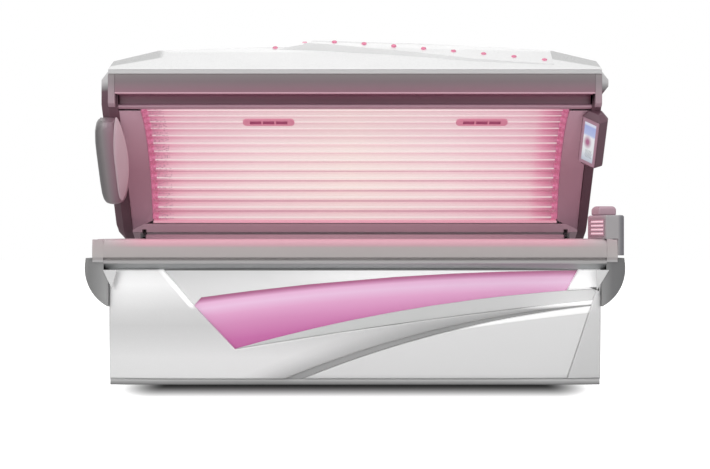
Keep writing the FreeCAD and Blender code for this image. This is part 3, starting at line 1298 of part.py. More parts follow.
def build_hinges():
    """Clevis brackets and pins on the base frame, and the gas springs that carry the canopy."""
    inner = (ARM_X - ARM_WALL / 2 - SIDE_PLAY - CLEVIS_WALL, ARM_X - ARM_WALL / 2 - SIDE_PLAY)
    outer = (ARM_X + ARM_WALL / 2 + SIDE_PLAY, ARM_X + ARM_WALL / 2 + SIDE_PLAY + CLEVIS_WALL)
    deck = BASE_TOP + CLEVIS_WALL
    plate_x = (ARM_X - BRACKET_HALF, ARM_X + BRACKET_HALF)
    bracket = box(plate_x, (FRAME_REAR - TUBE, FRAME_REAR), (BASE_TOP, deck))
    eye = HINGE_EYE_RADIUS
    cheek = [
        (FRAME_REAR - TUBE, deck),
        (FRAME_REAR, deck),
        (HINGE_Y + eye, HINGE_Z - eye / 2),
        (HINGE_Y + eye, HINGE_Z + eye / 2),
        (HINGE_Y + eye / 2, HINGE_Z + eye),
        (HINGE_Y - eye / 2, HINGE_Z + eye),
        (HINGE_Y - eye, HINGE_Z + eye / 2),
        (HINGE_Y - eye, HINGE_Z - eye / 2),
    ]
    for x in (inner, outer):
        bracket = bracket.fuse(prism("yz", cheek, x[0], x[1]))
    bore = rod_x(HINGE_PIN_RADIUS + RUNNING, (inner[0] - 5, outer[1] + 5), HINGE_Y, HINGE_Z)
    bracket = bracket.removeSplitter().cut(bore)
    add("hinge_brackets", both_sides(bracket))

    pin = rod_x(HINGE_PIN_RADIUS, (inner[0] - SIDE_PLAY, outer[1] + SIDE_PLAY), HINGE_Y, HINGE_Z)
    low_y, low_z = spring_anchor()
    anchor = rod_x(SPRING_PIN_RADIUS, (HALF_FRAME, SPRING_X + SPRING_EYE_WIDTH), low_y, low_z)
    add("pivot_pins", Part.makeCompound([mirrored(pin), pin, mirrored(anchor), anchor]))

    rise, lean = spring_line(0.0)
    offset = eye_drift() / 2

    def along_spring(shape):
        """Move a shape drawn up Z from the lower pin to the line of the spring."""
        shape.rotate(FreeCAD.Vector(0, 0, 0), FreeCAD.Vector(1, 0, 0), math.degrees(lean))
        shape.translate(FreeCAD.Vector(SPRING_X, low_y, low_z))
        return shape

    half_eye = (-SPRING_EYE_WIDTH / 2, SPRING_EYE_WIDTH / 2)
    body_length = CYLINDER_TOP - CYLINDER_FOOT
    body = Part.makeCylinder(CYLINDER_RADIUS, body_length, FreeCAD.Vector(0, 0, CYLINDER_FOOT))
    lug = rod_x(SPRING_EYE_RADIUS - 1, half_eye, 0, 0)
    bore_low = rise - ROD_LENGTH - (spring_line(0.0)[0] - spring_line(CLOSING_ANGLE)[0]) - SPRING_EYE_RADIUS
    bore = Part.makeCylinder(ROD_RADIUS + RUNNING, CYLINDER_TOP, FreeCAD.Vector(0, 0, bore_low))
    eye_hole = rod_x(SPRING_PIN_RADIUS + RUNNING, (-20, 20), 0, 0)
    cylinder = body.fuse(lug).cut(eye_hole).cut(bore)
    cylinder = along_spring(cylinder)
    add("gas_spring_cylinders", both_sides(cylinder))

    foot = rise - ROD_LENGTH
    rod = Part.makeCylinder(ROD_RADIUS, ROD_LENGTH - SPRING_EYE_RADIUS + 2, FreeCAD.Vector(0, 0, foot))
    ring = rod_x(SPRING_EYE_RADIUS, half_eye, offset, rise)
    hole = rod_x(SPRING_PIN_RADIUS + abs(offset) + SPRING_EYE_PLAY, (-20, 20), offset, rise)
    rod = rod.fuse(ring).removeSplitter().cut(hole)
    rod = along_spring(rod)
    add("gas_spring_rods", both_sides(rod))
    length, lowered_lean = spring_line(CLOSING_ANGLE)
    travel = math.radians(CLOSING_ANGLE)
    print("spring swing per turn", (lowered_lean - lean) / travel, "slide in mm", (length - rise) / travel)


def build_canopy_frame():
    """Welded canopy frame: end ribs, two cross beams and the hinge arms with their spring levers."""
    trough = canopy_trough()
    line = (CANOPY_NAPE[1] - CANOPY_LIP[1]) / (CANOPY_NAPE[0] - CANOPY_LIP[0])
    rib_front = RIB_FRONT
    rib_top = CANOPY_LIP[1] + line * (rib_front - CANOPY_LIP[0]) - SEAT
    blank = [
        (rib_front, rib_top),
        (CANOPY_NAPE[0], CANOPY_NAPE[1] - SEAT),
        (CANOPY_BACK, CANOPY_HEEL),
        (CANOPY_TUCK, CANOPY_REAR_FOOT),
        (CANOPY_REAR_LIP[0] + RIB_FOOT[0], CANOPY_REAR_LIP[1] - RIB_FOOT[1]),
        (rib_front, FIELD_TOP[1] + RIB_LIP_GAP),
    ]
    rib = prism("yz", at_hinge(blank), RIB_X, RIB_X + RIB_WALL)
    field_steps = trough.band(trough.radius / 2, trough.mirror_radius + RIB_FIELD_GAP, -0.2, 1.2)
    field = prism("yz", field_steps, RIB_X - RIB_WALL, RIB_X + 2 * RIB_WALL)
    back_path = [CANOPY_NAPE, (CANOPY_BACK, CANOPY_HEEL), (CANOPY_TUCK, CANOPY_REAR_FOOT)]
    back = sheet(back_path, SHELL_WALL + SEAT, HALF_CANOPY)
    rib = rib.cut(field).cut(back).cut(PIECES["canopy_bottom_cover"]).cut(PIECES["grip_channel"])
    rib = max(rib.Solids, key=lambda part: part.Volume)

    pieces = []
    for y, z in (LOW_BEAM, HIGH_BEAM):
        beam_y = (HINGE_Y + y, HINGE_Y + y + TUBE)
        beam_z = (HINGE_Z + z, HINGE_Z + z + TUBE)
        pieces.append(square_tube((-RIB_X, RIB_X), beam_y, beam_z, "x"))

    x = (ARM_X - ARM_WALL / 2, ARM_X + ARM_WALL / 2)
    tip = lever_tip()
    arm_outline = [
        ARM_HEEL,
        ARM_TOE,
        (LOW_BEAM[0] + TUBE, LOW_BEAM[1] - ARM_HEAD),
        (LOW_BEAM[0] + TUBE, LOW_BEAM[1]),
        (LOW_BEAM[0] - ARM_HEAD, LOW_BEAM[1]),
    ]
    arm = prism("yz", at_hinge(arm_outline), x[0], x[1])
    arm = arm.fuse(rod_x(HINGE_EYE_RADIUS - SIDE_PLAY, x, HINGE_Y, HINGE_Z))
    way = (math.cos(math.radians(LEVER_ANGLE)), math.sin(math.radians(LEVER_ANGLE)))
    lever = []
    for along, side in ((0.0, -1.0), (1.0, -1.0), (1.0, 1.0), (0.0, 1.0)):
        reach = along * (LEVER_LENGTH + LEVER_EYE_RADIUS)
        offset = side * LEVER_EYE_RADIUS
        lever.append((way[0] * reach - way[1] * offset, way[1] * reach + way[0] * offset))
    arm = arm.fuse(prism("yz", at_hinge(lever), x[0], x[1]))
    stud = rod_x(SPRING_PIN_RADIUS, (SPRING_X - SPRING_EYE_WIDTH / 2 - SIDE_PLAY, x[1]), tip[0], tip[1])
    arm = arm.fuse(stud).removeSplitter()
    arm = arm.cut(rod_x(HINGE_PIN_RADIUS + RUNNING, (x[0] - 5, x[1] + 5), HINGE_Y, HINGE_Z))
    pieces.extend([arm, mirrored(arm), rib, mirrored(rib)])
    frame = pieces[0].multiFuse(pieces[1:])
    add("canopy_frame", frame)


# Pods on the front edges of the canopy
POD_SEAT = -4.2
DISPLAY_POD = (20.0, 322.0)
DISPLAY_FULL = (45.0, 296.0)
LEFT_POD = (60.0, 530.0)
LEFT_POD_FULL = (112.0, 484.0)
POD_FACE_START = (HALF_CANOPY - 77.0, 6.0)
POD_FACE_END = (HALF_CANOPY - 9.0, 68.0)
DISPLAY_POD_OUTER = HALF_CANOPY + 35.0
LEFT_POD_OUTER = HALF_CANOPY + 82.0
POD_END_SHRINK = 0.55
POD_HEIGHT = POD_FACE_END[1] - POD_SEAT
POD_FOOT = 2.0
POD_SHOULDER = 6.0
POD_SHOULDER_SHARE = 0.74
POD_HIP_SHARE = 0.4
POD_TUCK = 10.0
BEZEL_WALL = 3.0
BEZEL_WIDTH = 5.0
DISPLAY_WALL = 2.0


def along_edge(shape):
    """Move a shape drawn in X and Z with its length down -Y to the front edge of the canopy."""
    front_y = FASCIA_Y + FASCIA_CAP_DEPTH + SEAT - SIDE_COVER_FIT
    rise = (FRONT_EDGE_Z - CANOPY_REAR_LIP[1], front_y - CANOPY_REAR_LIP[0])
    angle = math.degrees(math.atan2(rise[0], rise[1]))
    shape.rotate(FreeCAD.Vector(0, 0, 0), FreeCAD.Vector(1, 0, 0), angle)
    shape.translate(FreeCAD.Vector(0, HINGE_Y + front_y, HINGE_Z + FRONT_EDGE_Z))
    return shape


def pod_steps(outer, share):
    """Section of a pod: seat, slanted face and rounded back, drawn in about its middle by a share."""
    middle_x = (POD_FACE_START[0] + outer) / 2
    corners = (
        (POD_FACE_START[0] - POD_FOOT, POD_SEAT),
        POD_FACE_START,
        POD_FACE_END,
        (outer - POD_SHOULDER, POD_SEAT + POD_HEIGHT * POD_SHOULDER_SHARE),
        (outer, POD_SEAT + POD_HEIGHT * POD_HIP_SHARE),
        (outer - POD_TUCK, POD_SEAT),
    )
    steps = []
    for x, rise in corners:
        steps.append((middle_x + (x - middle_x) * share, POD_SEAT + (rise - POD_SEAT) * share))
    return steps


def pod_shell(length, full, outer):
    """Closed pod with drawn-in ends."""
    ends = ((length[0], POD_END_SHRINK), (full[0], 1.0), (full[1], 1.0), (length[1], POD_END_SHRINK))
    sections = []
    for down, share in ends:
        sections.append([FreeCAD.Vector(x, -down, z) for x, z in pod_steps(outer, share)])
    return planar_loft(sections)


def pod_plate(full, margin, low, high):
    """Plate on the slanted pod face, between two heights over it."""
    run = (POD_FACE_END[0] - POD_FACE_START[0], POD_FACE_END[1] - POD_FACE_START[1])
    length = math.hypot(run[0], run[1])
    way = (run[0] / length, run[1] / length)
    out = (-way[1], way[0])
    corners = []
    for along, up in ((margin, low), (length - margin, low), (length - margin, high), (margin, high)):
        corners.append(
            (
                POD_FACE_START[0] + way[0] * along + out[0] * up,
                POD_FACE_START[1] + way[1] * along + out[1] * up,
            )
        )
    return prism("xz", corners, -full[1] + margin, -full[0] - margin)


def build_pods():
    """Control pod with its bezel and display on the right, and the lens pod on the left."""
    add("control_pod_shell", along_edge(pod_shell(DISPLAY_POD, DISPLAY_FULL, DISPLAY_POD_OUTER)))
    frame = pod_plate(DISPLAY_FULL, SEAM, SEAT, SEAT + BEZEL_WALL)
    frame = frame.cut(pod_plate(DISPLAY_FULL, BEZEL_WIDTH, 0.0, 2 * BEZEL_WALL))
    add("control_bezel", along_edge(frame))
    screen = pod_plate(DISPLAY_FULL, BEZEL_WIDTH + SEAT, SEAT, SEAT + DISPLAY_WALL)
    add("control_display", along_edge(screen))

    add("left_pod_shell", mirrored(along_edge(pod_shell(LEFT_POD, LEFT_POD_FULL, LEFT_POD_OUTER))))
    lens = pod_plate(LEFT_POD_FULL, BEZEL_WIDTH, SEAT, SEAT + BEZEL_WALL)
    add("left_pod_lens", mirrored(along_edge(lens)))


# Cooling fan of the bench
HUB_RADIUS = 41.0
BLADE_CHORD = 34.0
SPIDER = 5.0
SPIDER_ARMS = 4
SPIDER_ARM_WIDTH = 10.0
AXLE_RADIUS = 4.0
BLADE_PITCH = 35.0
BLADE_WALL = 2.5
TIP_CLEARANCE = 3.0
DUCT_WALL = 8.0


def build_fan():
    """Square fan frame on the rear panel and its bladed rotor."""
    duct = FAN_SIZE / 2 - DUCT_WALL
    hub = HUB_RADIUS
    half = FAN_SIZE / 2
    frame = box((-half, half), (-half, half), (0, FAN_DEPTH))
    frame = frame.cut(Part.makeCylinder(duct, FAN_DEPTH + 2, FreeCAD.Vector(0, 0, -1)))
    frame = frame.fuse(Part.makeCylinder(hub, SPIDER))
    for number in range(SPIDER_ARMS):
        arm = box((hub - SPIDER, duct + 1), (-SPIDER_ARM_WIDTH / 2, SPIDER_ARM_WIDTH / 2), (0, SPIDER))
        arm.rotate(FreeCAD.Vector(0, 0, 0), FreeCAD.Vector(0, 0, 1), 45 + number * 360 / SPIDER_ARMS)
        frame = frame.fuse(arm)
    axle_hole = Part.makeCylinder(AXLE_RADIUS + RUNNING, 2 * FAN_DEPTH, FreeCAD.Vector(0, 0, -FAN_DEPTH))
    frame = frame.removeSplitter().cut(axle_hole)

    bottom = SPIDER + SIDE_PLAY
    top = FAN_DEPTH - SPIDER
    rotor = Part.makeCylinder(hub, top - bottom, FreeCAD.Vector(0, 0, bottom))
    rotor = rotor.fuse(Part.makeCylinder(AXLE_RADIUS, bottom + 1))
    middle = (top + bottom) / 2
    reach = (hub - BLADE_WALL, duct - TIP_CLEARANCE)
    blade = box(reach, (-BLADE_WALL / 2, BLADE_WALL / 2), (-BLADE_CHORD / 2, BLADE_CHORD / 2))
    blade.rotate(FreeCAD.Vector(0, 0, 0), FreeCAD.Vector(1, 0, 0), BLADE_PITCH)
    blade.translate(FreeCAD.Vector(0, 0, middle))
    for number in range(FAN_BLADES):
        copy = blade.copy()
        copy.rotate(FreeCAD.Vector(0, 0, 0), FreeCAD.Vector(0, 0, 1), number * 360 / FAN_BLADES)
        rotor = rotor.fuse(copy)
    rotor = rotor.removeSplitter()
    for name, shape in (("bench_fan_frame", frame), ("bench_fan_rotor", rotor)):
        shape.rotate(FreeCAD.Vector(0, 0, 0), FreeCAD.Vector(1, 0, 0), 90)
        shape.translate(FreeCAD.Vector(FAN_X, BASE_REAR - PANEL_WALL, FAN_Z))
        add(name, shape)


def build_all():
    """Every piece of the capsule, in the order in which it is put together."""
    build_frame()
    build_electrics()
    build_front()
    build_bench()
    build_head_unit()
    build_hinges()
    build_canopy_covers()
    build_canopy_lamps()
    build_canopy_ends()
    build_canopy_frame()
    build_pods()
    build_fan()


def export_all():
    """Write each piece to its own file, moved so that the origin is under the middle of the whole."""
    whole = Part.makeCompound(list(PIECES.values())).BoundBox
    move = FreeCAD.Vector(-(whole.XMin + whole.XMax) / 2, -(whole.YMin + whole.YMax) / 2, -whole.ZMin)
    os.makedirs("parts", exist_ok=True)
    for name, shape in PIECES.items():
        placed = shape.copy()
        placed.translate(move)
        placed.exportStep("parts/" + name + ".step")
    print("moved by", [round(value, 3) for value in move])
    print("overall", [round(value, 1) for value in (whole.XLength, whole.YLength, whole.ZLength)])


build_all()
export_all()
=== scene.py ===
"""Spa capsule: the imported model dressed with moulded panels, glowing lamps and a plain studio."""

import json
import logging
import math
from collections.abc import Iterable, Sequence
from dataclasses import dataclass
from enum import Enum

import bmesh
import bpy
from mathutils import Matrix, Vector


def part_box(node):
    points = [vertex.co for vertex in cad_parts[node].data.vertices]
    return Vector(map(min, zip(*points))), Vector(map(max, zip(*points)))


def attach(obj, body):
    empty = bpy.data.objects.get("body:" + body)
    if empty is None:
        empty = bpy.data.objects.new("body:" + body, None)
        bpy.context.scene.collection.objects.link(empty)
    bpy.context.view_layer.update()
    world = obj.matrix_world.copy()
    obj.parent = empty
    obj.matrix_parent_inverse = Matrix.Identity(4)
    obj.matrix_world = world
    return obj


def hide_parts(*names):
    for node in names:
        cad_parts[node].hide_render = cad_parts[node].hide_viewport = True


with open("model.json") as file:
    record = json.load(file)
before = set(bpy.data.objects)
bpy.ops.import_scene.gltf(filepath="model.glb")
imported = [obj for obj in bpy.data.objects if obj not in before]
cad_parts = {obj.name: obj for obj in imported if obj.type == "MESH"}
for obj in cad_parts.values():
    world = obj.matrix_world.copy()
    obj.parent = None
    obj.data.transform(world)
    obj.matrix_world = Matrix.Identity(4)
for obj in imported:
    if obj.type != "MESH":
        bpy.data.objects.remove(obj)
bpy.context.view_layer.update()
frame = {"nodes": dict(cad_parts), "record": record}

MM = 0.001
RIGHT = Vector((1, 0, 0))
FRONT = Vector((0, -1, 0))
UP = Vector((0, 0, 1))
SHARP_DEG = 35.0
FLAT_DEG = 1.0
JOIN_MM = 0.02
# A face looks a way roughly or mostly when its normal has at least this share of the way.
ROUGHLY, MOSTLY = 0.3, 0.6
LOG = logging.getLogger("spa_capsule")

Colour = tuple[float, float, float, float]
Point = tuple[float, float, float]
Place = tuple[float, float]
Stops = tuple[tuple[float, str], ...]
Inputs = dict[str | int, object]
Mesh = bmesh.types.BMesh
Corner = bmesh.types.BMVert
Socket = bpy.types.NodeSocket

# The shares of a noise pattern where it counts as weakest and strongest.
WEAK, STRONG = 0.3, 0.7
LEAST_ROUGHNESS = 0.02
BLACK = (0, 0, 0, 1)
WHITE = (1, 1, 1, 1)


class Body(Enum):
    """The bodies that new pieces ride on."""

    BASE = "base"
    CANOPY = "canopy"


class Axis(Enum):
    """The direction that a change of colour follows."""

    X = "X"
    Z = "Z"


def linear(code: str, depth: float = 1.0) -> Colour:
    """Turns an sRGB hex colour into linear light.

    Args:
        code: Six hex digits, such as "d8d4d5".
        depth: The share of the light that is kept.

    Returns:
        The colour as linear red, green, blue and an alpha of 1.
    """
    parts = []
    for start in (0, 2, 4):
        share = int(code[start:start + 2], 16) / 255
        light = share / 12.92 if share <= 0.04045 else ((share + 0.055) / 1.055) ** 2.4
        parts.append(light * depth)
    return (parts[0], parts[1], parts[2], 1.0)


class Nodes:
    """The shader nodes of a new material or world."""

    # The sockets of a mix of two colours: its share, the two colours and the mixed one.
    MIX_INPUTS = (0, 6, 7)
    MIX_OUTPUT = 2

    def __init__(self, owner: bpy.types.Material | bpy.types.World, shader: str = "Principled BSDF") -> None:
        """Starts the nodes.

        Args:
            owner: What the nodes belong to.
            shader: The name of the shader that it starts with.
        """
        owner.use_nodes = True
        self.tree = owner.node_tree
        self.shader = self.tree.nodes[shader]

    @property
    def spot(self) -> Socket:
        """The place on the object."""
        return self.add("TexCoord", out="Object")

    def feed(self, node: bpy.types.Node, inputs: Inputs) -> None:
        """Sets or links inputs of a node.

        Args:
            node: The node.
            inputs: Values or output sockets, by the input's name or number.
        """
        for key, value in inputs.items():
            if isinstance(value, Socket):
                self.tree.links.new(value, node.inputs[key])
            else:
                node.inputs[key].default_value = value

    def add(self, kind: str, inputs: Inputs | None = None, out: str | int = 0, **settings) -> Socket:
        """Adds one node with its settings, values and links.

        Args:
            kind: What follows ShaderNode in Blender's name of the node type.
            inputs: Values or output sockets, by the input's name or number.
            out: The output that is wanted, by name or number.
            settings: Attributes of the node.

        Returns:
            The output.
        """
        node = self.tree.nodes.new("ShaderNode" + kind)
        for name, value in settings.items():
            setattr(node, name, value)
        self.feed(node, inputs or {})
        return node.outputs[out]

    def calc(self, operation: str, *values: Socket | float, **settings) -> Socket:
        """Adds a sum of numbers or output sockets and returns its result."""
        return self.add("Math", dict(enumerate(values)), operation=operation, **settings)

    def mix(self, share: Socket | float, first: Socket | Colour, second: Socket | Colour,
            blend: str = "MIX") -> Socket:
        """Adds a mix of two colours, from all of the first to all of the second, and returns it."""
        inputs = dict(zip(self.MIX_INPUTS, (share, first, second)))
        return self.add("Mix", inputs, self.MIX_OUTPUT, data_type="RGBA", blend_type=blend)

    def noise(self, size_mm: float, detail: float) -> Socket:
        """Adds noise of a size in millimetres and returns its strength."""
        return self.add("TexNoise", {"Vector": self.spot, "Scale": 1 / (size_mm * MM), "Detail": detail})


def set_stops(ramp: Socket, stops: Sequence[tuple[float, Colour]]) -> Socket:
    """Sets the stops of a colour ramp.

    Args:
        ramp: The ramp's colour.
        stops: The share along the ramp and the colour of each stop.

    Returns:
        The ramp's colour.
    """
    elements = ramp.node.color_ramp.elements
    while len(elements) < len(stops):
        elements.new(0.5)
    for element, (share, colour) in zip(elements, stops):
        element.position = share
        element.color = colour
    return ramp


def mottled(nodes: Nodes, pattern: Socket, colour: str, depth: float) -> Socket:
    """Adds a colour that a pattern makes uneven.

    Args:
        nodes: The material's nodes.
        pattern: The pattern's strength.
        colour: The colour where it is strongest.
        depth: The share of the light that is left where it is weakest.

    Returns:
        The colour.
    """
    ramp = nodes.add("ValToRGB", {"Fac": pattern})
    return set_stops(ramp, ((WEAK, linear(colour, depth)), (STRONG, linear(colour))))


def relief(nodes: Nodes, pattern: Socket, gloss: Place, height_mm: float, strength: float) -> Inputs:
    """Adds the uneven gloss and the relief of a pattern.

    Args:
        nodes: The material's nodes.
        pattern: The pattern's strength.
        gloss: The mean roughness, and how far it goes up and down.
        height_mm: The height of the relief.
        strength: The share of the relief that shows.

    Returns:
        The inputs of the shader.
    """
    mean, spread = gloss
    least = max(mean - spread, LEAST_ROUGHNESS)
    rough = nodes.add("MapRange", {"Value": pattern, "To Min": least, "To Max": mean + spread})
    bump = nodes.add("Bump", {"Height": pattern, "Distance": height_mm * MM, "Strength": strength})
    return {"Roughness": rough, "Normal": bump}


@dataclass(frozen=True)
class Arc:
    """A line on the front from left to right, in X and Z, whose middle rises over the chord."""

    left: Place
    right: Place
    rise: float = 0.0


class Ramp:
    """A change of colour with a place. Each stop is a place in millimetres and the hex colour there."""

    stops: Stops

    def place(self, nodes: Nodes) -> Socket:
        """Adds the nodes that give the place in metres."""
        raise NotImplementedError

    def add(self, nodes: Nodes) -> Socket:
        """Adds the nodes that give the colour.

        Args:
            nodes: The material's nodes.

        Returns:
            The colour.
        """
        first, last = self.stops[0][0], self.stops[-1][0]
        share = nodes.add("MapRange", {
            "Value": self.place(nodes),
            "From Min": first * MM,
            "From Max": last * MM,
        })
        stops = [((place - first) / (last - first), linear(code)) for place, code in self.stops]
        return set_stops(nodes.add("ValToRGB", {"Fac": share}), stops)


@dataclass(frozen=True)
class Fade(Ramp):
    """A change of colour along one axis of the object."""

    axis: Axis
    stops: Stops

    def place(self, nodes: Nodes) -> Socket:
        """Adds the node that gives the place along the axis."""
        return nodes.add("SeparateXYZ", {0: nodes.spot}, self.axis.value)


@dataclass(frozen=True)
class ArcFade(Ramp):
    """A change of colour with the height over an arc."""

    arc: Arc
    stops: Stops

    def place(self, nodes: Nodes) -> Socket:
        """Adds the nodes that give the height over the arc.

        Args:
            nodes: The material's nodes.

        Returns:
            The height in metres.
        """
        left, right, rise = self.arc.left, self.arc.right, self.arc.rise * MM
        half = (right[0] - left[0]) / 2 * MM
        middle = (right[0] + left[0]) / 2 * MM
        climb = (right[1] - left[1]) / 2 * MM
        level = (right[1] + left[1]) / 2 * MM
        parts = nodes.add("SeparateXYZ", {0: nodes.spot}).node.outputs
        along = nodes.calc("MULTIPLY_ADD", parts["X"], 1 / half, -middle / half)
        square = nodes.calc("MULTIPLY", along, along)
        chord = nodes.calc("MULTIPLY_ADD", along, climb, level)
        bow = nodes.calc("MULTIPLY_ADD", square, -rise, rise)
        arc = nodes.calc("ADD", chord, bow)
        return nodes.calc("SUBTRACT", parts["Z"], arc)


@dataclass(frozen=True)
class PaintedLight:
    """Painted light or painted shade on a finish: a tint where two fades of strength meet, with a glow where
    it shines.

    The two fades hold greys, from black for none to white for all of the tint.
    """

    colour: str
    along: Ramp
    up: Ramp
    glow: float = 0.0

    def add(self, nodes: Nodes) -> Socket:
        """Adds the nodes that give the strength of the tint, from 0 to 1."""
        return nodes.calc("MULTIPLY", self.along.add(nodes), self.up.add(nodes))


class Finish:
    """What a surface is made of."""

    name: str

    def made(self) -> bpy.types.Material:
        """Returns the material, made once."""
        material = bpy.data.materials.get(self.name)
        if not material:
            material = bpy.data.materials.new(self.name)
            nodes = Nodes(material)
            nodes.feed(nodes.shader, self.inputs(nodes))
        return material

    def inputs(self, nodes: Nodes) -> Inputs:
        """Adds the nodes that feed the shader, and returns its inputs."""
        raise NotImplementedError


@dataclass(frozen=True)
class Moulded(Finish):
    """A moulded or vacuum-formed plastic: a soft gloss over a fine grain.

    The grain is in millimetres. Shades are painted shade: they darken the colour where they are less than
    white.
    Painted lights mix painted light or painted shade into the colour. The glow is light that shines through
    it from lamps behind it, or painted lamp light on a part that is no lamp.
    """

    name: str
    colour: str | Ramp
    roughness: float = 0.35
    grain_mm: float = 3.0
    coat: float = 0.0
    shades: tuple[Ramp, ...] = ()
    painted_lights: tuple[PaintedLight, ...] = ()
    glow: float = 0.0

    GRAIN_HEIGHT_MM = 0.05
    GRAIN_STRENGTH = 0.35
    GRAIN_DETAIL = 3.0
    GLOSS_SPREAD = 0.05
    CLOUD_MM = 220.0
    CLOUD_DEPTH = 0.965
    CLOUD_DETAIL = 2.0
    IOR = 1.5
    COAT_ROUGHNESS = 0.12

    def inputs(self, nodes: Nodes) -> Inputs:
        """Adds the nodes that feed the shader, and returns its inputs."""
        grain = nodes.noise(self.grain_mm, self.GRAIN_DETAIL)
        base = self.base(nodes)
        lit = {}
        # Each painted light mixes painted light or painted shade into the colour, and a glowing one shines.
        for painted_light in self.painted_lights:
            strength, tint = painted_light.add(nodes), linear(painted_light.colour)
            base = nodes.mix(strength, base, tint)
            if painted_light.glow:
                thrown = nodes.mix(strength, BLACK, tint)
                lit = {"Emission Color": thrown, "Emission Strength": painted_light.glow}
        if self.glow:
            lit = {"Emission Color": base, "Emission Strength": self.glow}
        gloss = (self.roughness, self.GLOSS_SPREAD)
        return {
            "Base Color": base,
            "IOR": self.IOR,
            "Coat Weight": self.coat,
            "Coat Roughness": self.COAT_ROUGHNESS,
            **relief(nodes, grain, gloss, self.GRAIN_HEIGHT_MM, self.GRAIN_STRENGTH),
            **lit,
        }

    def base(self, nodes: Nodes) -> Socket:
        """Adds the nodes of the colour, with its painted shades.

        Args:
            nodes: The material's nodes.

        Returns:
            The colour.
        """
        if isinstance(self.colour, Ramp):
            colour = self.colour.add(nodes)
        else:
            cloud = nodes.noise(self.CLOUD_MM, self.CLOUD_DETAIL)
            colour = mottled(nodes, cloud, self.colour, self.CLOUD_DEPTH)
        for shade in self.shades:
            colour = nodes.mix(1.0, colour, shade.add(nodes), "MULTIPLY")
        return colour


@dataclass(frozen=True)
class Metal(Finish):
    """A metal sheet, bar or painted steel: long fine marks along one axis and an uneven gloss. Its glow is
    painted lamp light.
    """

    name: str
    colour: str
    roughness: float
    metallic: float = 1.0
    mark_mm: Point = (60.0, 1.5, 1.5)
    glow: float = 0.0

    MARK_HEIGHT_MM = 0.02
    MARK_STRENGTH = 0.4
    MARK_DEPTH = 0.86
    MARK_DETAIL = 4.0
    GLOSS_SPREAD = 0.08

    def inputs(self, nodes: Nodes) -> Inputs:
        """Adds the nodes that feed the shader, and returns its inputs."""
        scale = tuple(1 / (size * MM) for size in self.mark_mm)
        stretch = nodes.add("Mapping", {"Vector": nodes.spot, "Scale": scale})
        marks = nodes.add("TexNoise", {"Vector": stretch, "Scale": 1.0, "Detail": self.MARK_DETAIL})
        gloss = (self.roughness, self.GLOSS_SPREAD)
        return {
            "Base Color": mottled(nodes, marks, self.colour, self.MARK_DEPTH),
            "Metallic": self.metallic,
            "Emission Color": linear(self.colour),
            "Emission Strength": self.glow,
            **relief(nodes, marks, gloss, self.MARK_HEIGHT_MM, self.MARK_STRENGTH),
        }


@dataclass(frozen=True)
class ClearSheet(Finish):
    """Clear cast acrylic: almost nothing of its own, with a wet gloss that catches the lights."""

    name: str
    colour: str
    alpha: float

    WAVE_MM = 140.0
    WAVE_DETAIL = 1.0
    GLOSS_SPAN = (0.03, 0.09)
    IOR = 1.49

    def inputs(self, nodes: Nodes) -> Inputs:
        """Adds the nodes that feed the shader, and returns its inputs."""
        waves = nodes.noise(self.WAVE_MM, self.WAVE_DETAIL)
        low, high = self.GLOSS_SPAN
        return {
            "Base Color": linear(self.colour),
            "Roughness": nodes.add("MapRange", {"Value": waves, "To Min": low, "To Max": high}),
            "IOR": self.IOR,
            "Alpha": self.alpha,
        }


@dataclass(frozen=True)
class LampGlass(Finish):
    """Phosphor-coated lamp glass, lit: a bright window along the tube, deeper pink round its back and ends.

    The mesh says in an attribute how far a point faces the user, and a painted highlight runs as a thin pale
    line along each tube where it faces the user most. The tint tells the rows of lamps apart, and small dark
    marks are printed near one end.
    """

    name: str
    rim: Ramp
    window: Ramp
    tint: Ramp
    strength: float
    mark_span_mm: Place
    mark_mm: float = 10.0

    ATTRIBUTE = "facing"
    WINDOW_SPAN = (0.2, 0.9)
    # The painted highlight: a thin pale line, in the glow, where the glass faces the user most.
    HIGHLIGHT_SPAN = (0.955, 0.995)
    HIGHLIGHT_STRENGTH = 0.75
    HIGHLIGHT_COLOUR = "fffaf4"
    MARK_SIZE = 0.34
    MARK_SPREAD = 0.6
    MARK_STRENGTH = 0.8
    MARK_COLOUR = "8a5f70"
    UNLIT_COLOUR = "5a4048"
    ROUGHNESS = 0.15

    def inputs(self, nodes: Nodes) -> Inputs:
        """Adds the nodes that feed the shader, and returns its inputs."""
        facing = nodes.add("Attribute", out="Fac", attribute_name=self.ATTRIBUTE)
        low, high = self.WINDOW_SPAN
        open_share = nodes.add("MapRange", {"Value": facing, "From Min": low, "From Max": high},
                               interpolation_type="SMOOTHSTEP")
        body = nodes.mix(open_share, self.rim.add(nodes), self.window.add(nodes))
        rows = nodes.mix(1.0, body, self.tint.add(nodes), "MULTIPLY")
        # The painted highlight along each tube's crest.
        low, high = self.HIGHLIGHT_SPAN
        highlight_share = nodes.add("MapRange", {
            "Value": facing,
            "From Min": low,
            "From Max": high,
            "To Max": self.HIGHLIGHT_STRENGTH,
        })
        glass = nodes.mix(highlight_share, rows, linear(self.HIGHLIGHT_COLOUR))
        cells = nodes.add("TexVoronoi", {
            "Vector": nodes.spot,
            "Scale": 1 / (self.mark_mm * MM),
            "Randomness": self.MARK_SPREAD,
        })
        dots = nodes.calc("LESS_THAN", cells, self.MARK_SIZE)
        start, end = self.mark_span_mm
        along = nodes.add("SeparateXYZ", {0: nodes.spot}, "X")
        near = nodes.calc("COMPARE", along, (start + end) / 2 * MM, (end - start) / 2 * MM)
        soft = nodes.calc("MULTIPLY", nodes.calc("MULTIPLY", dots, near), self.MARK_STRENGTH)
        printed = nodes.mix(soft, glass, linear(self.MARK_COLOUR))
        return {
            "Base Color": linear(self.UNLIT_COLOUR),
            "Roughness": self.ROUGHNESS,
            "Emission Color": printed,
            "Emission Strength": self.strength,
        }


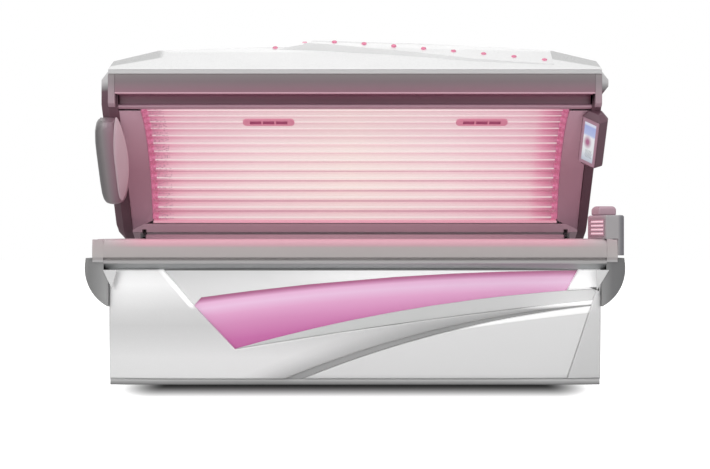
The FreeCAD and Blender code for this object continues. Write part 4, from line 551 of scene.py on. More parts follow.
@dataclass(frozen=True)
class Display(Finish):
    """Backlit display glass with a plain pattern of blocks: it reads the mesh's own UV map.

    The pattern is a pale screen with a blue block, a rosy patch and rows of small marks, in a printed border.
    """

    name: str
    strength: float
    border: float = 0.12

    PAGE = ((0.0, "aeb6c4"), (0.12, "cdd6e0"), (0.3, "eef3f4"), (0.62, "f6f7fa"), (0.68, "b9c6ee"),
            (0.86, "a9b8ea"), (0.9, "e4e8f8"), (1.0, "dfe3f2"))
    PATCH_AT = (0.42, 0.5, 0.0)
    PATCH_SCALE = (3.4, 6.0, 0.0)
    PATCH_STRENGTH = 1.4
    PATCH_COLOUR = "b0688c"
    MARK_SCALE = 22.0
    MARK_STRENGTH = 0.5
    MARK_COLOUR = "4c5560"
    # The middle and the reach of the rows of marks, across and up.
    MARKS = (("X", 0.55, 0.22), ("Y", 0.24, 0.09))
    BORDER_COLOUR = "a8808f"
    UNLIT_COLOUR = "30343c"
    ROUGHNESS = 0.12

    def inputs(self, nodes: Nodes) -> Inputs:
        """Adds the nodes that feed the shader, and returns its inputs."""
        spot = nodes.add("TexCoord", out="UV")
        parts = nodes.add("SeparateXYZ", {0: spot}).node.outputs
        page = set_stops(nodes.add("ValToRGB", {"Fac": parts["Y"]}),
                         [(share, linear(code)) for share, code in self.PAGE])
        shift = tuple(-place * scale for place, scale in zip(self.PATCH_AT, self.PATCH_SCALE))
        patch = nodes.add("Mapping", {"Vector": spot, "Location": shift, "Scale": self.PATCH_SCALE})
        ball = nodes.add("TexGradient", {"Vector": patch}, "Fac", gradient_type="SPHERICAL")
        rosy = nodes.calc("MULTIPLY", ball, self.PATCH_STRENGTH, use_clamp=True)
        with_patch = nodes.mix(rosy, page, linear(self.PATCH_COLOUR))
        marks = nodes.add("TexChecker", {
            "Vector": spot,
            "Scale": self.MARK_SCALE,
            "Color1": BLACK,
            "Color2": WHITE,
        }, "Fac")
        for axis, middle, reach in self.MARKS:
            near = nodes.calc("COMPARE", parts[axis], middle, reach)
            marks = nodes.calc("MULTIPLY", marks, near)
        soft = nodes.calc("MULTIPLY", marks, self.MARK_STRENGTH)
        screen = nodes.mix(soft, with_patch, linear(self.MARK_COLOUR))
        centre = nodes.calc("COMPARE", parts["X"], 0.5, 0.5 - self.border)
        level = nodes.calc("COMPARE", parts["Y"], 0.5, 0.5 - self.border / 2)
        within = nodes.calc("MULTIPLY", centre, level)
        framed = nodes.mix(within, linear(self.BORDER_COLOUR), screen)
        return {
            "Base Color": linear(self.UNLIT_COLOUR),
            "Roughness": self.ROUGHNESS,
            "Emission Color": framed,
            "Emission Strength": self.strength,
        }


# The lines of the sculpted front and of the cover's shoulders, as they are drawn on them: the painted light
# and shade of the finishes below follow them, and the panel's line is the lower edge of a painted highlight.
WINDOW_TOP = Arc((-641, 375), (975, 490), 28)
SWEEP_LOW = Arc((-280, 26), (1035, 345), 53)
PANEL_HIGHLIGHT = Arc((512, 247), (1026, 313), 3)
WING_EDGE = Arc((-801, 495), (-668, 339))
LEFT_SHOULDER = Arc((-1088, 1438), (-884, 1483))
RIGHT_SHOULDER = Arc((901, 1483), (1133, 1433))
# The band of painted shade under each shoulder line.
SHOULDER_SHADE = ((-28, "000000"), (-22, "ffffff"), (0, "ffffff"))

# Gloss white ABS, vacuum-formed: an even white with a soft shine and hardly any grain.
WHITE_ABS = Moulded("gloss_white_abs_vacuum_formed", "e6e6e6", roughness=0.28, coat=0.3)
# The same white on the cover, with a band of painted grey shade along its sloped shoulders.
COVER_WHITE = Moulded("gloss_white_abs_cover", "e6e6e6", roughness=0.28, coat=0.3, painted_lights=(
    PaintedLight("b9b9b9", ArcFade(LEFT_SHOULDER, SHOULDER_SHADE), Fade(Axis.X, ((-886, "ffffff"), (-860, "000000")))),
    PaintedLight("b9b9b9", ArcFade(RIGHT_SHOULDER, SHOULDER_SHADE), Fade(Axis.X, ((876, "000000"), (902, "ffffff")))),
))
# The same white on the sweep, with painted light and shade: painted bright where it bulges to the light,
# painted greyer where it turns under and towards the groove, and a glowing painted highlight along the wing's
# edge.
SWEEP_WHITE = Moulded(
    "gloss_white_abs_sweep",
    Fade(Axis.Z, ((26, "f0f0f0"), (120, "efefef"), (200, "dfdfdf"), (255, "d6d6d6"), (320, "dedede"),
                  (385, "f0f0f0"), (430, "ffffff"), (495, "ffffff"))),
    roughness=0.26, coat=0.35,
    shades=(ArcFade(SWEEP_LOW, ((-5, "c2c2c2"), (25, "dadada"), (60, "f4f4f4"), (90, "ffffff"))),),
    painted_lights=(PaintedLight("ffffff", ArcFade(WING_EDGE, ((-34, "000000"), (-22, "ffffff"), (0, "ffffff"))),
                   Fade(Axis.Z, ((325, "000000"), (345, "ffffff"), (480, "ffffff"))), glow=0.2),))
# Satin light grey ABS sheet: flat panels and trim that take a soft sheen.
LIGHT_PANEL = Moulded("satin_light_grey_abs_sheet", "dcdcdc", roughness=0.42)
TRIM_GREY = Moulded("satin_light_grey_abs_trim", "cdcdcd", roughness=0.42)
# Satin white ABS sheet over the window: white, with a painted shadow line under the rim, painted shade
# towards the wing, and a glowing painted light on its upper right.
UPPER_PANEL = Moulded(
    "satin_white_abs_upper_panel",
    Fade(Axis.Z, ((340, "fafafa"), (440, "fcfcfc"), (488, "ffffff"), (491, "a8a8a8"), (495, "949494"))),
    roughness=0.4,
    shades=(Fade(Axis.X, ((-800, "e6e6e6"), (-500, "f2f2f2"), (0, "ffffff"))),),
    painted_lights=(PaintedLight("ffffff", Fade(Axis.X, ((-350, "000000"), (100, "ffffff"))),
                   Fade(Axis.Z, ((430, "000000"), (465, "ffffff"), (488, "ffffff"), (491, "000000"))),
                   glow=0.14),))
# Satin light grey ABS sheet of the lower panel and the corner, a little darker at their foot: a glowing
# painted highlight where the lower panel meets the groove, and the corner painted brighter, and glowing,
# towards its top.
SERVICE_PANEL = Moulded(
    "satin_light_grey_abs_service_panel",
    Fade(Axis.Z, ((26, "d8d8d8"), (45, "e6e6e6"), (338, "e8e8e8"))),
    roughness=0.4,
    painted_lights=(PaintedLight("ffffff", ArcFade(PANEL_HIGHLIGHT, ((-5, "000000"), (1, "ffffff"), (30, "ffffff"))),
                   Fade(Axis.X, ((440, "000000"), (560, "ffffff"))), glow=0.15),))
CORNER_PANEL = Moulded(
    "satin_light_grey_abs_corner",
    Fade(Axis.Z, ((26, "d6d6d6"), (300, "d9d9d9"), (400, "f2f2f2"), (495, "ffffff"))),
    roughness=0.4,
    painted_lights=(PaintedLight("ffffff", Fade(Axis.X, ((920, "ffffff"), (1070, "ffffff"))),
                   Fade(Axis.Z, ((400, "000000"), (425, "ffffff"))), glow=0.22),))
# Satin ABS of the band and the groove between the white mouldings: a mid grey that is painted shade under the
# window's lip and in the groove, the band painted lighter towards the right.
BAND_GREY = Moulded(
    "satin_abs_band_painted_shade_grey",
    Fade(Axis.X, ((-490, "d4d6d5"), (300, "cfd0cf"), (700, "d6d6d6"), (950, "ebebeb"))), roughness=0.45)
GROOVE_GREY = Moulded("satin_abs_groove_painted_shade_grey", "b4b4b4", roughness=0.45)
# Opal pink acrylic, thermoformed and lit from behind by the light bar: a painted light makes it palest in a
# band under its top edge, where the light bar is near; it is darker right along the top edge and deeper pink
# lower down.
PINK_WINDOW = Moulded(
    "opal_pink_acrylic_lit",
    ArcFade(WINDOW_TOP, ((-260, "bd5f9c"), (-200, "c468a4"), (-130, "d38ab8"), (-85, "dea0c8"),
                         (-50, "e8bfdd"), (-28, "e6b4d6"), (-16, "c983ae"), (-8, "b0648c"), (6, "a85f86"))),
    roughness=0.22, coat=0.4, glow=0.15)
# Satin silver paint on a bent aluminium fascia and its end caps, with the lamps' warm pink painted in lower
# down and a painted highlight along the fascia's pale lower edge.
SATIN_FASCIA = Moulded(
    "satin_silver_paint_on_sheet",
    Fade(Axis.Z, ((1284, "d2a8b6"), (1290, "d2a8b6"), (1292, "8e6876"), (1340, "7a6b70"), (1375, "817a7b"))),
    roughness=0.38, grain_mm=1.6)
FASCIA_END = Moulded(
    "satin_silver_paint_on_end_cap",
    Fade(Axis.Z, ((1226, "a98a96"), (1290, "a08a92"), (1340, "8c8185"), (1375, "8f8889"))),
    roughness=0.34, grain_mm=1.6)
# Satin silver-grey ABS, moulded, with the pink of the lamps close by painted into its colour; the end walls
# are painted lighter towards the top.
MAUVE = Moulded("satin_silver_grey_abs_painted_lamp_pink", "b08b99", roughness=0.42)
END_WALL = Moulded("satin_silver_grey_abs_end_wall_painted_light",
                   Fade(Axis.Z, ((667, "a88594"), (950, "b08c9a"), (1214, "d2b0be"))), roughness=0.4)
# Satin dark grey ABS with the lamps' pink painted in as a mauve cast. The side covers are painted dark with
# shade and the lamps' pink below, and light grey where they meet the cover; the grip is darker in the middle
# of its channel.
DARK_MAUVE = Moulded("satin_dark_grey_abs_painted_lamp_pink", "6a4b57", roughness=0.4)
SIDE_COVER = Moulded(
    "satin_abs_side_cover_painted_shade_and_lamp_pink",
    Fade(Axis.Z, ((615, "5c3c48"), (900, "5a3a46"), (1200, "6a4754"), (1300, "664854"), (1312, "8a8587"),
                  (1345, "d8d6d7"), (1420, "f0f0f0"))), roughness=0.6)
GRIP = Moulded(
    "satin_abs_grip_painted_lamp_pink",
    Fade(Axis.Z, ((1236, "a0788a"), (1243, "7f5566"), (1262, "744858"), (1287, "945a70"))), roughness=0.36)
# Satin silver-grey ABS of the bench rim, with painted light and shade: a painted shadow on its underside, a
# light lip, a painted shade in the groove, and the lamps' pink light painted on top with a faint glow.
RIM_GREY = Moulded(
    "satin_silver_grey_abs_rim",
    Fade(Axis.Z, ((489, "b4b6b7"), (505, "9fa1a2"), (519, "8c8e8f"), (522, "b0aeae"), (535, "b0aeae"),
                  (538, "a09a9a"), (546, "a09a9a"), (549, "b3adac"), (590, "b6acac"), (626, "bbabae"))),
    roughness=0.38, coat=0.15,
    painted_lights=(PaintedLight("d898a9",
                   Fade(Axis.X, ((-1040, "000000"), (-880, "ffffff"), (920, "ffffff"), (1080, "000000"))),
                   Fade(Axis.Z, ((588, "000000"), (600, "cccccc"), (626, "ffffff"))), glow=0.03),))
# Satin dark grey ABS of the hull-shaped ends, with painted shading: darker on the outer curve, lighter
# towards the middle.
HULL_GREY = Moulded(
    "satin_dark_grey_abs_hull",
    Fade(Axis.X, ((-1134, "7e7e7e"), (-1112, "767676"), (-1075, "8a8a8a"), (-1047, "9a9a9a"), (0, "7c7c7c"),
                  (1060, "929292"), (1085, "8a8a8a"), (1118, "6c6c6d"), (1174, "626263"))),
    roughness=0.32, coat=0.2)
# Satin grey ABS of the skirting: dull, with a painted shade that darkens it towards the floor.
SKIRTING = Moulded("satin_grey_abs_skirting", Fade(Axis.Z, ((0, "6e6e6e"), (13, "a6a6a6"), (26, "d2d2d2"))),
                   roughness=0.45)
# Satin grey ABS of the head unit: the lamps' pink painted on its side towards the lamps and a painted shade
# on its outer end; the cap is painted with the same pink.
HEAD_GREY = Moulded(
    "satin_grey_abs_head_unit",
    Fade(Axis.X, ((1041, "b5929f"), (1075, "ab939d"), (1090, "a09c9e"), (1140, "9f9b9d"), (1152, "716f74"),
                  (1166, "58565c"))), roughness=0.36, coat=0.15)
HEAD_CAP = Moulded("satin_grey_abs_head_cap_painted_lamp_pink", "b3929f", roughness=0.36, coat=0.15)
# Satin grey ABS of the left pod: a painted shade on its outer side and the lamps' pink painted in towards the
# lamps, with a paler glossy lens, also painted with the lamps' pink and a little lighter towards its top.
POD_GREY = Moulded(
    "satin_grey_abs_pod",
    Fade(Axis.X, ((-1185, "5e5b5d"), (-1165, "6e6a6c"), (-1140, "8f898b"), (-1115, "967f89"),
                  (-1085, "9a7784"), (-1024, "a88e99"))), roughness=0.3, coat=0.25)
POD_LENS = Moulded(
    "satin_polycarbonate_lens_painted_lamp_pink",
    Fade(Axis.Z, ((811, "c6abb5"), (960, "cdb3bc"), (1180, "d4bac3"))), roughness=0.22, coat=0.35)
# Satin silver ABS of the bezel: a frame with the lamps' rosy pink painted in and a soft gloss round the
# display.
BEZEL = Moulded("satin_silver_abs_bezel_painted_lamp_pink", "a98695", roughness=0.3, coat=0.2)
# Backlit display glass: a pale, even glow under a hard gloss.
DISPLAY = Display("backlit_display_glass", strength=0.8)
# Clear cast acrylic of the lying sheet and the canopy sheet: seen by its gloss alone.
CLEAR_ACRYLIC = ClearSheet("clear_cast_acrylic", "f6e6ee", alpha=0.06)
# Coated lamp glass, lit: deep pink at the ends of the tubes, cream along the middle.
LAMP_GLASS = LampGlass(
    "coated_lamp_glass_lit",
    rim=Fade(Axis.X, ((-955, "cc6a8e"), (-935, "c97593"), (-905, "d588a0"), (-870, "e0a0b2"),
                      (-780, "e7b6c1"), (-450, "eeced2"), (0, "f2dad7"), (450, "efd0d4"), (780, "e8bcc6"),
                      (860, "e4b0bd"), (905, "da8ea6"), (945, "cc7693"), (985, "b45f7e"))),
    window=Fade(Axis.X, ((-955, "d2789b"), (-935, "d0839e"), (-905, "db99ae"), (-870, "e9b7c4"),
                         (-780, "f0ced4"), (-450, "f7e3e1"), (0, "faebe4"), (450, "f7e4e2"), (780, "f2d2d7"),
                         (860, "ecc4cc"), (905, "e2a0b4"), (945, "d2839d"), (985, "ba6888"))),
    tint=Fade(Axis.Z, ((715, "f0dfe6"), (790, "f7ecef"), (874, "fffdfc"), (1050, "ffffff"), (1120, "f5edf1"),
                       (1250, "f4e9ee"))),
    strength=0.88, mark_span_mm=(-930, -862))
# Aluminium round the lamps, rolled, bright anodised or plain anodised, with the lamps' pink reflection
# painted into its colour and a glow of painted lamp light.
LAMP_CAP = Metal("rolled_aluminium_lamp_cap", "c86f94", roughness=0.3, metallic=0.6, mark_mm=(2, 2, 2),
                 glow=0.42)
REFLECTOR = Metal("bright_anodised_aluminium_sheet", "e6cfd8", roughness=0.16, mark_mm=(90, 2, 2), glow=0.1)
LAMP_LIT_PLATE = Metal("anodised_aluminium_end_plate", "c07094", roughness=0.35, metallic=0.5, mark_mm=(6, 6, 60),
                   glow=0.32)
# White coated sheet and white PBT, dull, with the lamps' pink light painted into their colour and glowing;
# opal acrylic of the lit diffusers, pink all through.
FIELD_FOOT = Moulded("white_coated_sheet_field_foot", "dfa2b4", roughness=0.4, glow=0.35)
WHITE_PBT = Moulded("white_pbt_moulded_lampholder", "cc7498", roughness=0.5, glow=0.38)
LIT_DIFFUSER = Moulded("opal_acrylic_diffuser_lit", "f6d3de", roughness=0.3, glow=0.5)
# Pink polycarbonate lens over each small light, with a paler flange: a small wet spot of light.
LED_PINK = Moulded("pink_polycarbonate_led_lens", "c4587e", roughness=0.15, coat=0.5, glow=0.25)
LED_FLANGE = Moulded("pale_pink_polycarbonate_led_flange", "eeb4c6", roughness=0.25, glow=0.25)
# Tinted ABS of the air nozzles, with a faint glow of painted lamp light: a soft gloss outside, and a painted
# shade, dull and dark, in the slots.
NOZZLE_PINK = Moulded("pink_tinted_abs_nozzle", "df93ab", roughness=0.3, coat=0.3, glow=0.15)
NOZZLE_DARK = Moulded("nozzle_throat_painted_shade", "b0587c", roughness=0.5, glow=0.1)
# Powder-coated steel: an even, dull skin with a slight orange peel, drawn coarser than real so that it shows.
PEEL_MM = (2.5, 2.5, 2.5)
FRAME_STEEL = Metal("powder_coated_steel_tube", "4b4649", roughness=0.5, metallic=0.0, mark_mm=PEEL_MM)
SHEET_PANEL = Metal("powder_coated_steel_sheet", "c4c4c4", roughness=0.45, metallic=0.0, mark_mm=PEEL_MM)
# Galvanised steel: broad flecks of zinc.
ZINC_SHEET = Metal("galvanised_steel_sheet", "b9bbbf", roughness=0.4, mark_mm=(14, 14, 14))
# Dark steel of the hinges and springs, phosphated, painted or nitrided: fine marks of turning and drawing.
PIN_STEEL = Metal("phosphated_steel_pin", "3c3639", roughness=0.45, metallic=0.3, mark_mm=(0.8, 30, 30))
SPRING_BLACK = Metal("black_painted_steel_tube", "26272a", roughness=0.3, metallic=0.0, mark_mm=(3, 3, 3))
NITRIDED_ROD = Metal("black_nitrided_steel_rod", "2e2b2e", roughness=0.25, metallic=0.6, mark_mm=(1, 1, 40))
# Black polyamide and rubber, moulded: dull and almost without light.
BLACK_PLASTIC = Moulded("black_polyamide_moulded", "26262a", roughness=0.5)
FOOT_RUBBER = Moulded("black_rubber_moulded", "1f1f21", roughness=0.7)


def merged_copy(node: str, clear_flat: bool = True) -> Mesh:
    """Copies a CAD node's mesh and joins its loose triangles.

    Args:
        node: The CAD node's name.
        clear_flat: Whether the edges inside flat faces are cleared too.

    Returns:
        The new mesh.
    """
    mesh = bmesh.new()
    mesh.from_mesh(frame["nodes"][node].data)
    bmesh.ops.remove_doubles(mesh, verts=mesh.verts, dist=JOIN_MM * MM)
    if clear_flat:
        bmesh.ops.dissolve_limit(mesh, angle_limit=math.radians(FLAT_DEG), verts=mesh.verts,
                                 edges=mesh.edges)
    return mesh


def bevel(mesh: Mesh, edges: list[bmesh.types.BMEdge], width_mm: float, segments: int = 3,
          clamped: bool = True) -> None:
    """Rounds edges of a mesh.

    Args:
        mesh: The mesh to change.
        edges: The edges to round.
        width_mm: How far the rounding reaches from the edge.
        segments: Faces across the rounding.
        clamped: Whether roundings stop where they meet.
    """
    bmesh.ops.bevel(mesh, geom=edges, offset=width_mm * MM, offset_type="OFFSET", segments=segments,
                    profile=0.5, affect="EDGES", material=-1, clamp_overlap=clamped, loop_slide=False)


def round_edges(mesh: Mesh, width_mm: float, sharp_deg: float = SHARP_DEG, segments: int = 3,
                facing: Vector | None = None) -> None:
    """Rounds the sharp edges of a mesh.

    Args:
        mesh: The mesh to change.
        width_mm: How far the rounding reaches from the edge.
        sharp_deg: Edges that turn by more than this are rounded.
        segments: Faces across the rounding.
        facing: Where it is given, only edges of faces that look this way are rounded.
    """
    sharp = [edge for edge in mesh.edges if len(edge.link_faces) == 2
             and edge.calc_face_angle(0) > math.radians(sharp_deg)]
    if facing:
        sharp = [edge for edge in sharp
                 if max(face.normal.dot(facing) for face in edge.link_faces) > MOSTLY]
    bevel(mesh, sharp, width_mm, segments, clamped=not facing)


def cut_across(mesh: Mesh, levels_mm: Iterable[float]) -> None:
    """Cuts the faces of a mesh at some heights, in millimetres."""
    for level in levels_mm:
        bmesh.ops.bisect_plane(mesh, geom=[*mesh.verts, *mesh.edges, *mesh.faces],
                               plane_co=(0, 0, level * MM), plane_no=UP)


def islands(mesh: Mesh) -> list[list[Corner]]:
    """Sorts the corners of a mesh into its separate pieces.

    Args:
        mesh: The mesh to sort.

    Returns:
        One list of corners for each piece.
    """
    left = dict.fromkeys(mesh.verts)
    found = []
    while left:
        group = [left.popitem()[0]]
        for vert in group:
            for edge in vert.link_edges:
                other = edge.other_vert(vert)
                if other in left:
                    left.pop(other)
                    group.append(other)
        found.append(group)
    return found


def span(corners: Iterable[Corner], way: Vector) -> Place:
    """Measures corners along a direction.

    Args:
        corners: The corners.
        way: The direction.

    Returns:
        The least and the greatest place along it.
    """
    places = [corner.co.dot(way) for corner in corners]
    return min(places), max(places)


def corners_in(grown: dict) -> list[Corner]:
    """Returns the new corners in what an operator gives back."""
    return [item for item in grown["geom"] if isinstance(item, Corner)]


def spun(mesh: Mesh, outline: Iterable[Place], axis: Vector, side: Vector, steps: int) -> list[Corner]:
    """Spins an outline into a closed piece.

    Args:
        mesh: The mesh that it goes into.
        outline: Its points: the place along the axis and the distance from it.
        axis: The axis, through the origin.
        side: The way from the axis to the outline.
        steps: Faces round the axis.

    Returns:
        The new corners.
    """
    old = set(mesh.verts)
    points = [mesh.verts.new(axis * along + side * away) for along, away in outline]
    edges = [mesh.edges.new(pair) for pair in zip(points, points[1:])]
    bmesh.ops.spin(mesh, geom=points + edges, cent=(0, 0, 0), axis=axis, dvec=(0, 0, 0), angle=math.tau,
                   steps=steps, use_merge=True, use_duplicate=False)
    bmesh.ops.remove_doubles(mesh, verts=[vert for vert in mesh.verts if vert not in old], dist=JOIN_MM * MM)
    return [vert for vert in mesh.verts if vert not in old]


def add_block(mesh: Mesh, low: Vector, high: Vector) -> None:
    """Adds a block, whose edges are then rounded.

    Args:
        mesh: The mesh that it goes into.
        low: Its least corner in millimetres.
        high: Its greatest corner in millimetres.
    """
    corners = bmesh.ops.create_cube(mesh, size=1.0)["verts"]
    bmesh.ops.scale(mesh, verts=corners, vec=(high - low) * MM)
    bmesh.ops.translate(mesh, verts=corners, vec=(low + high) / 2 * MM)


def face_outwards(mesh: Mesh) -> None:
    """Turns all faces of a closed mesh outwards."""
    bmesh.ops.recalc_face_normals(mesh, faces=mesh.faces)
    if mesh.calc_volume(signed=True) < 0:
        bmesh.ops.reverse_faces(mesh, faces=mesh.faces)


def slot_of(node: str) -> str:
    """Returns the record's material slot of a CAD node."""
    return next(part["material_slot"] for part in frame["record"]["subparts"] if part["node"] == node)


def placed(node: str, mesh: Mesh, finishes: Sequence[Finish], body: Body, name: str = "",
           smooth_deg: float = SHARP_DEG) -> None:
    """Makes a piece from a finished mesh and lets it ride.

    Args:
        node: The CAD node that it stands for, whose material slot in the record is looked up.
        mesh: The mesh, in the object's frame.
        finishes: The finishes of its material slots.
        body: The body that it moves with.
        name: The piece's name. Without one, the piece is shown for the node.
        smooth_deg: Edges that turn by more than this stay sharp.
    """
    title = name or node + "_dressed"
    data = bpy.data.meshes.new(title)
    mesh.to_mesh(data)
    mesh.free()
    data.shade_smooth()
    data.set_sharp_from_angle(angle=math.radians(smooth_deg))
    for finish in finishes:
        data.materials.append(finish.made())
    piece = bpy.data.objects.new(title, data)
    bpy.context.scene.collection.objects.link(piece)
    weighted = piece.modifiers.new("even_shading", "WEIGHTED_NORMAL")
    weighted.keep_sharp = True
    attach(piece, body.value)
    slot_of(node)
    if not name:
        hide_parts(node)
    LOG.info("%s: %d faces", title, len(data.polygons))


@dataclass(frozen=True)
class Panel:
    """One CAD piece that gets rounded edges and a finish."""

    node: str
    finish: Finish
    edge_mm: float = 0.0
    sharp_deg: float = SHARP_DEG
    segments: int = 3
    facing: Vector | None = None
    smooth_deg: float = SHARP_DEG

    def build(self, body: Body) -> None:
        """Makes the dressed piece.

        Args:
            body: The body that it rides on.
        """
        mesh = merged_copy(self.node)
        if self.edge_mm:
            round_edges(mesh, self.edge_mm, self.sharp_deg, self.segments, self.facing)
        placed(self.node, mesh, [self.finish], body, smooth_deg=self.smooth_deg)


@dataclass(frozen=True)
class Plate:
    """The frame of a flat CAD piece: its middle, its length, width and facing, and half its size."""

    middle: Vector
    along: Vector
    across: Vector
    facing: Vector
    half_length: float
    half_width: float

    @classmethod
    def of(cls, mesh: Mesh, towards: Vector) -> "Plate":
        """Reads the frame of a mesh.

        Args:
            mesh: The mesh, whose largest face towards the viewer is the front of the plate.
            towards: The way that the front faces, roughly.

        Returns:
            The plate's frame, with its length pointing up.
        """
        fronts = [face for face in mesh.faces if face.normal.dot(towards) > ROUGHLY]
        front = max(fronts, key=lambda face: face.calc_area())
        facing = front.normal.copy()
        longest = max(front.edges, key=lambda edge: edge.calc_length())
        along = (longest.verts[1].co - longest.verts[0].co).normalized()
        along *= math.copysign(1, along.z)
        across = along.cross(facing).normalized()
        low, high = span(front.verts, along)
        left, right = span(front.verts, across)
        level = front.verts[0].co.dot(facing)
        middle = along * (high + low) / 2 + across * (right + left) / 2 + facing * level
        return cls(middle, along, across, facing, (high - low) / 2, (right - left) / 2)

    def matrix(self) -> Matrix:
        """Returns the matrix from the plate's frame (across, along, facing) to the object's."""
        turn = Matrix((self.across, self.along, self.facing)).transposed().to_4x4()
        return Matrix.Translation(self.middle) @ turn


class Assembly:
    """A part of the object, with pieces that are made and CAD pieces that stay as they are."""

    KEPT: dict[str, Finish] = {}

    def build(self) -> None:
        """Makes the shown pieces."""

    def dress(self) -> None:
        """Gives the pieces that stay as they are their finishes."""
        for node, finish in self.KEPT.items():
            data = frame["nodes"][node].data
            data.materials.clear()
            data.materials.append(finish.made())
            LOG.info("%s: kept as it is", node)


@dataclass
class Base(Assembly):
    """The sculpted base: front mouldings, skirting, panels and what is inside."""

    edge_mm: float = 2.0
    sweep_edge_mm: float = 8.0
    skirting_out: float = 11.0
    skirting_low: float = 0.5
    skirting_reach: float = 20.0
    flange_edge: float = 1.0

    KEPT = {
        "base_frame": FRAME_STEEL, "levelling_feet": FOOT_RUBBER, "floor_tray": ZINC_SHEET,
        "rear_panel": SHEET_PANEL, "ballasts": SHEET_PANEL, "control_box": SHEET_PANEL,
        "mains_gland": BLACK_PLASTIC, "window_light_bar": LIT_DIFFUSER, "bench_fan_frame": BLACK_PLASTIC,
        "bench_fan_rotor": BLACK_PLASTIC,
    }

    def build(self) -> None:
        """Makes the shown pieces."""
        for node, finish, edge_mm in (
            ("front_sweep_shell", SWEEP_WHITE, self.sweep_edge_mm),
            ("front_upper_panel", UPPER_PANEL, self.edge_mm),
            ("front_window", PINK_WINDOW, self.edge_mm),
            ("window_band", BAND_GREY, self.edge_mm),
            ("groove_trim", GROOVE_GREY, self.edge_mm),
            ("service_panel", SERVICE_PANEL, self.sweep_edge_mm),
            ("front_corner_panel", CORNER_PANEL, self.sweep_edge_mm),
        ):
            Panel(node, finish, edge_mm, facing=FRONT).build(Body.BASE)
        Panel("side_panels", LIGHT_PANEL, self.edge_mm).build(Body.BASE)
        self.skirting()

    def skirting(self) -> None:
        """Brings the plinth's walls out to the edge of its flange and down to the floor."""
        mesh = merged_copy("plinth", clear_flat=False)
        low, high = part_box("plinth")
        reach, edge = self.skirting_reach * MM, self.flange_edge * MM
        for vert in mesh.verts:
            if vert.co.z < low[2] + edge:
                vert.co.z = self.skirting_low * MM
            for axis in (0, 1):
                if low[axis] + edge < vert.co[axis] < low[axis] + reach:
                    vert.co[axis] -= self.skirting_out * MM
                elif high[axis] - reach < vert.co[axis] < high[axis] - edge:
                    vert.co[axis] += self.skirting_out * MM
        placed("plinth", mesh, [SKIRTING], Body.BASE)


@dataclass
class LampRow:
    """A row of lamps in a trough: coated glass tubes with rolled metal caps."""

    node: str
    body: Body
    open_side: Vector
    cap_mm: float = 14.0
    steps: int = 20

    # The cap from its end inwards: shares of its length and of the lamp's radius.
    CAP = ((0.0, 0.0), (0.0, 0.8), (0.15, 0.94), (1.0, 0.94), (1.0, 1.0))

    def build(self) -> None:
        """Makes the lamps in place of the CAD node."""
        source = merged_copy(self.node)
        tubes = []
        for group in islands(source):
            spans = [span(group, way) for way in (RIGHT, -FRONT, UP)]
            tubes.append([Vector(pair[end] for pair in spans) for end in (0, 1)])
        source.free()
        tubes.sort(key=lambda tube: (tube[0] + tube[1]).cross(RIGHT).dot(self.open_side))
        middles = [(low + high) / 2 for low, high in tubes]
        mesh = bmesh.new()
        layer = mesh.verts.layers.float.new(LampGlass.ATTRIBUTE)
        for index, (low, high) in enumerate(tubes):
            before = middles[max(index - 1, 0)]
            after = middles[min(index + 1, len(middles) - 1)]
            facing = (after - before).cross(RIGHT).normalized()
            if facing.dot(self.open_side) < 0:
                facing = -facing
            self.tube(mesh, layer, low, high, facing)
        face_outwards(mesh)
        placed(self.node, mesh, [LAMP_GLASS, LAMP_CAP], self.body)

    def tube(self, mesh: Mesh, layer: bmesh.types.BMLayerItem, low: Vector, high: Vector,
             facing: Vector) -> None:
        """Spins one lamp.

        Args:
            mesh: The mesh that it goes into.
            layer: The attribute that says how far a point faces the user.
            low: The least corner of the lamp's box.
            high: The greatest corner of the lamp's box.
            facing: The way to the user from the lamp's middle.
        """
        radius = (high.z - low.z) / 2
        cap = self.cap_mm * MM
        half = (high.x - low.x) / 2
        left = [(inwards * cap - half, share * radius) for inwards, share in self.CAP]
        right = [(-x, away) for x, away in reversed(left)]
        fresh = spun(mesh, left + right, RIGHT, UP, self.steps)
        for vert in fresh:
            away = Vector((0, vert.co.y, vert.co.z))
            vert[layer] = away.normalized().dot(facing) if away.length > 0 else 0.0
            for face in vert.link_faces:
                if abs(face.calc_center_median().x) > half - cap:
                    face.material_index = 1
        bmesh.ops.translate(mesh, verts=fresh, vec=(low + high) / 2)


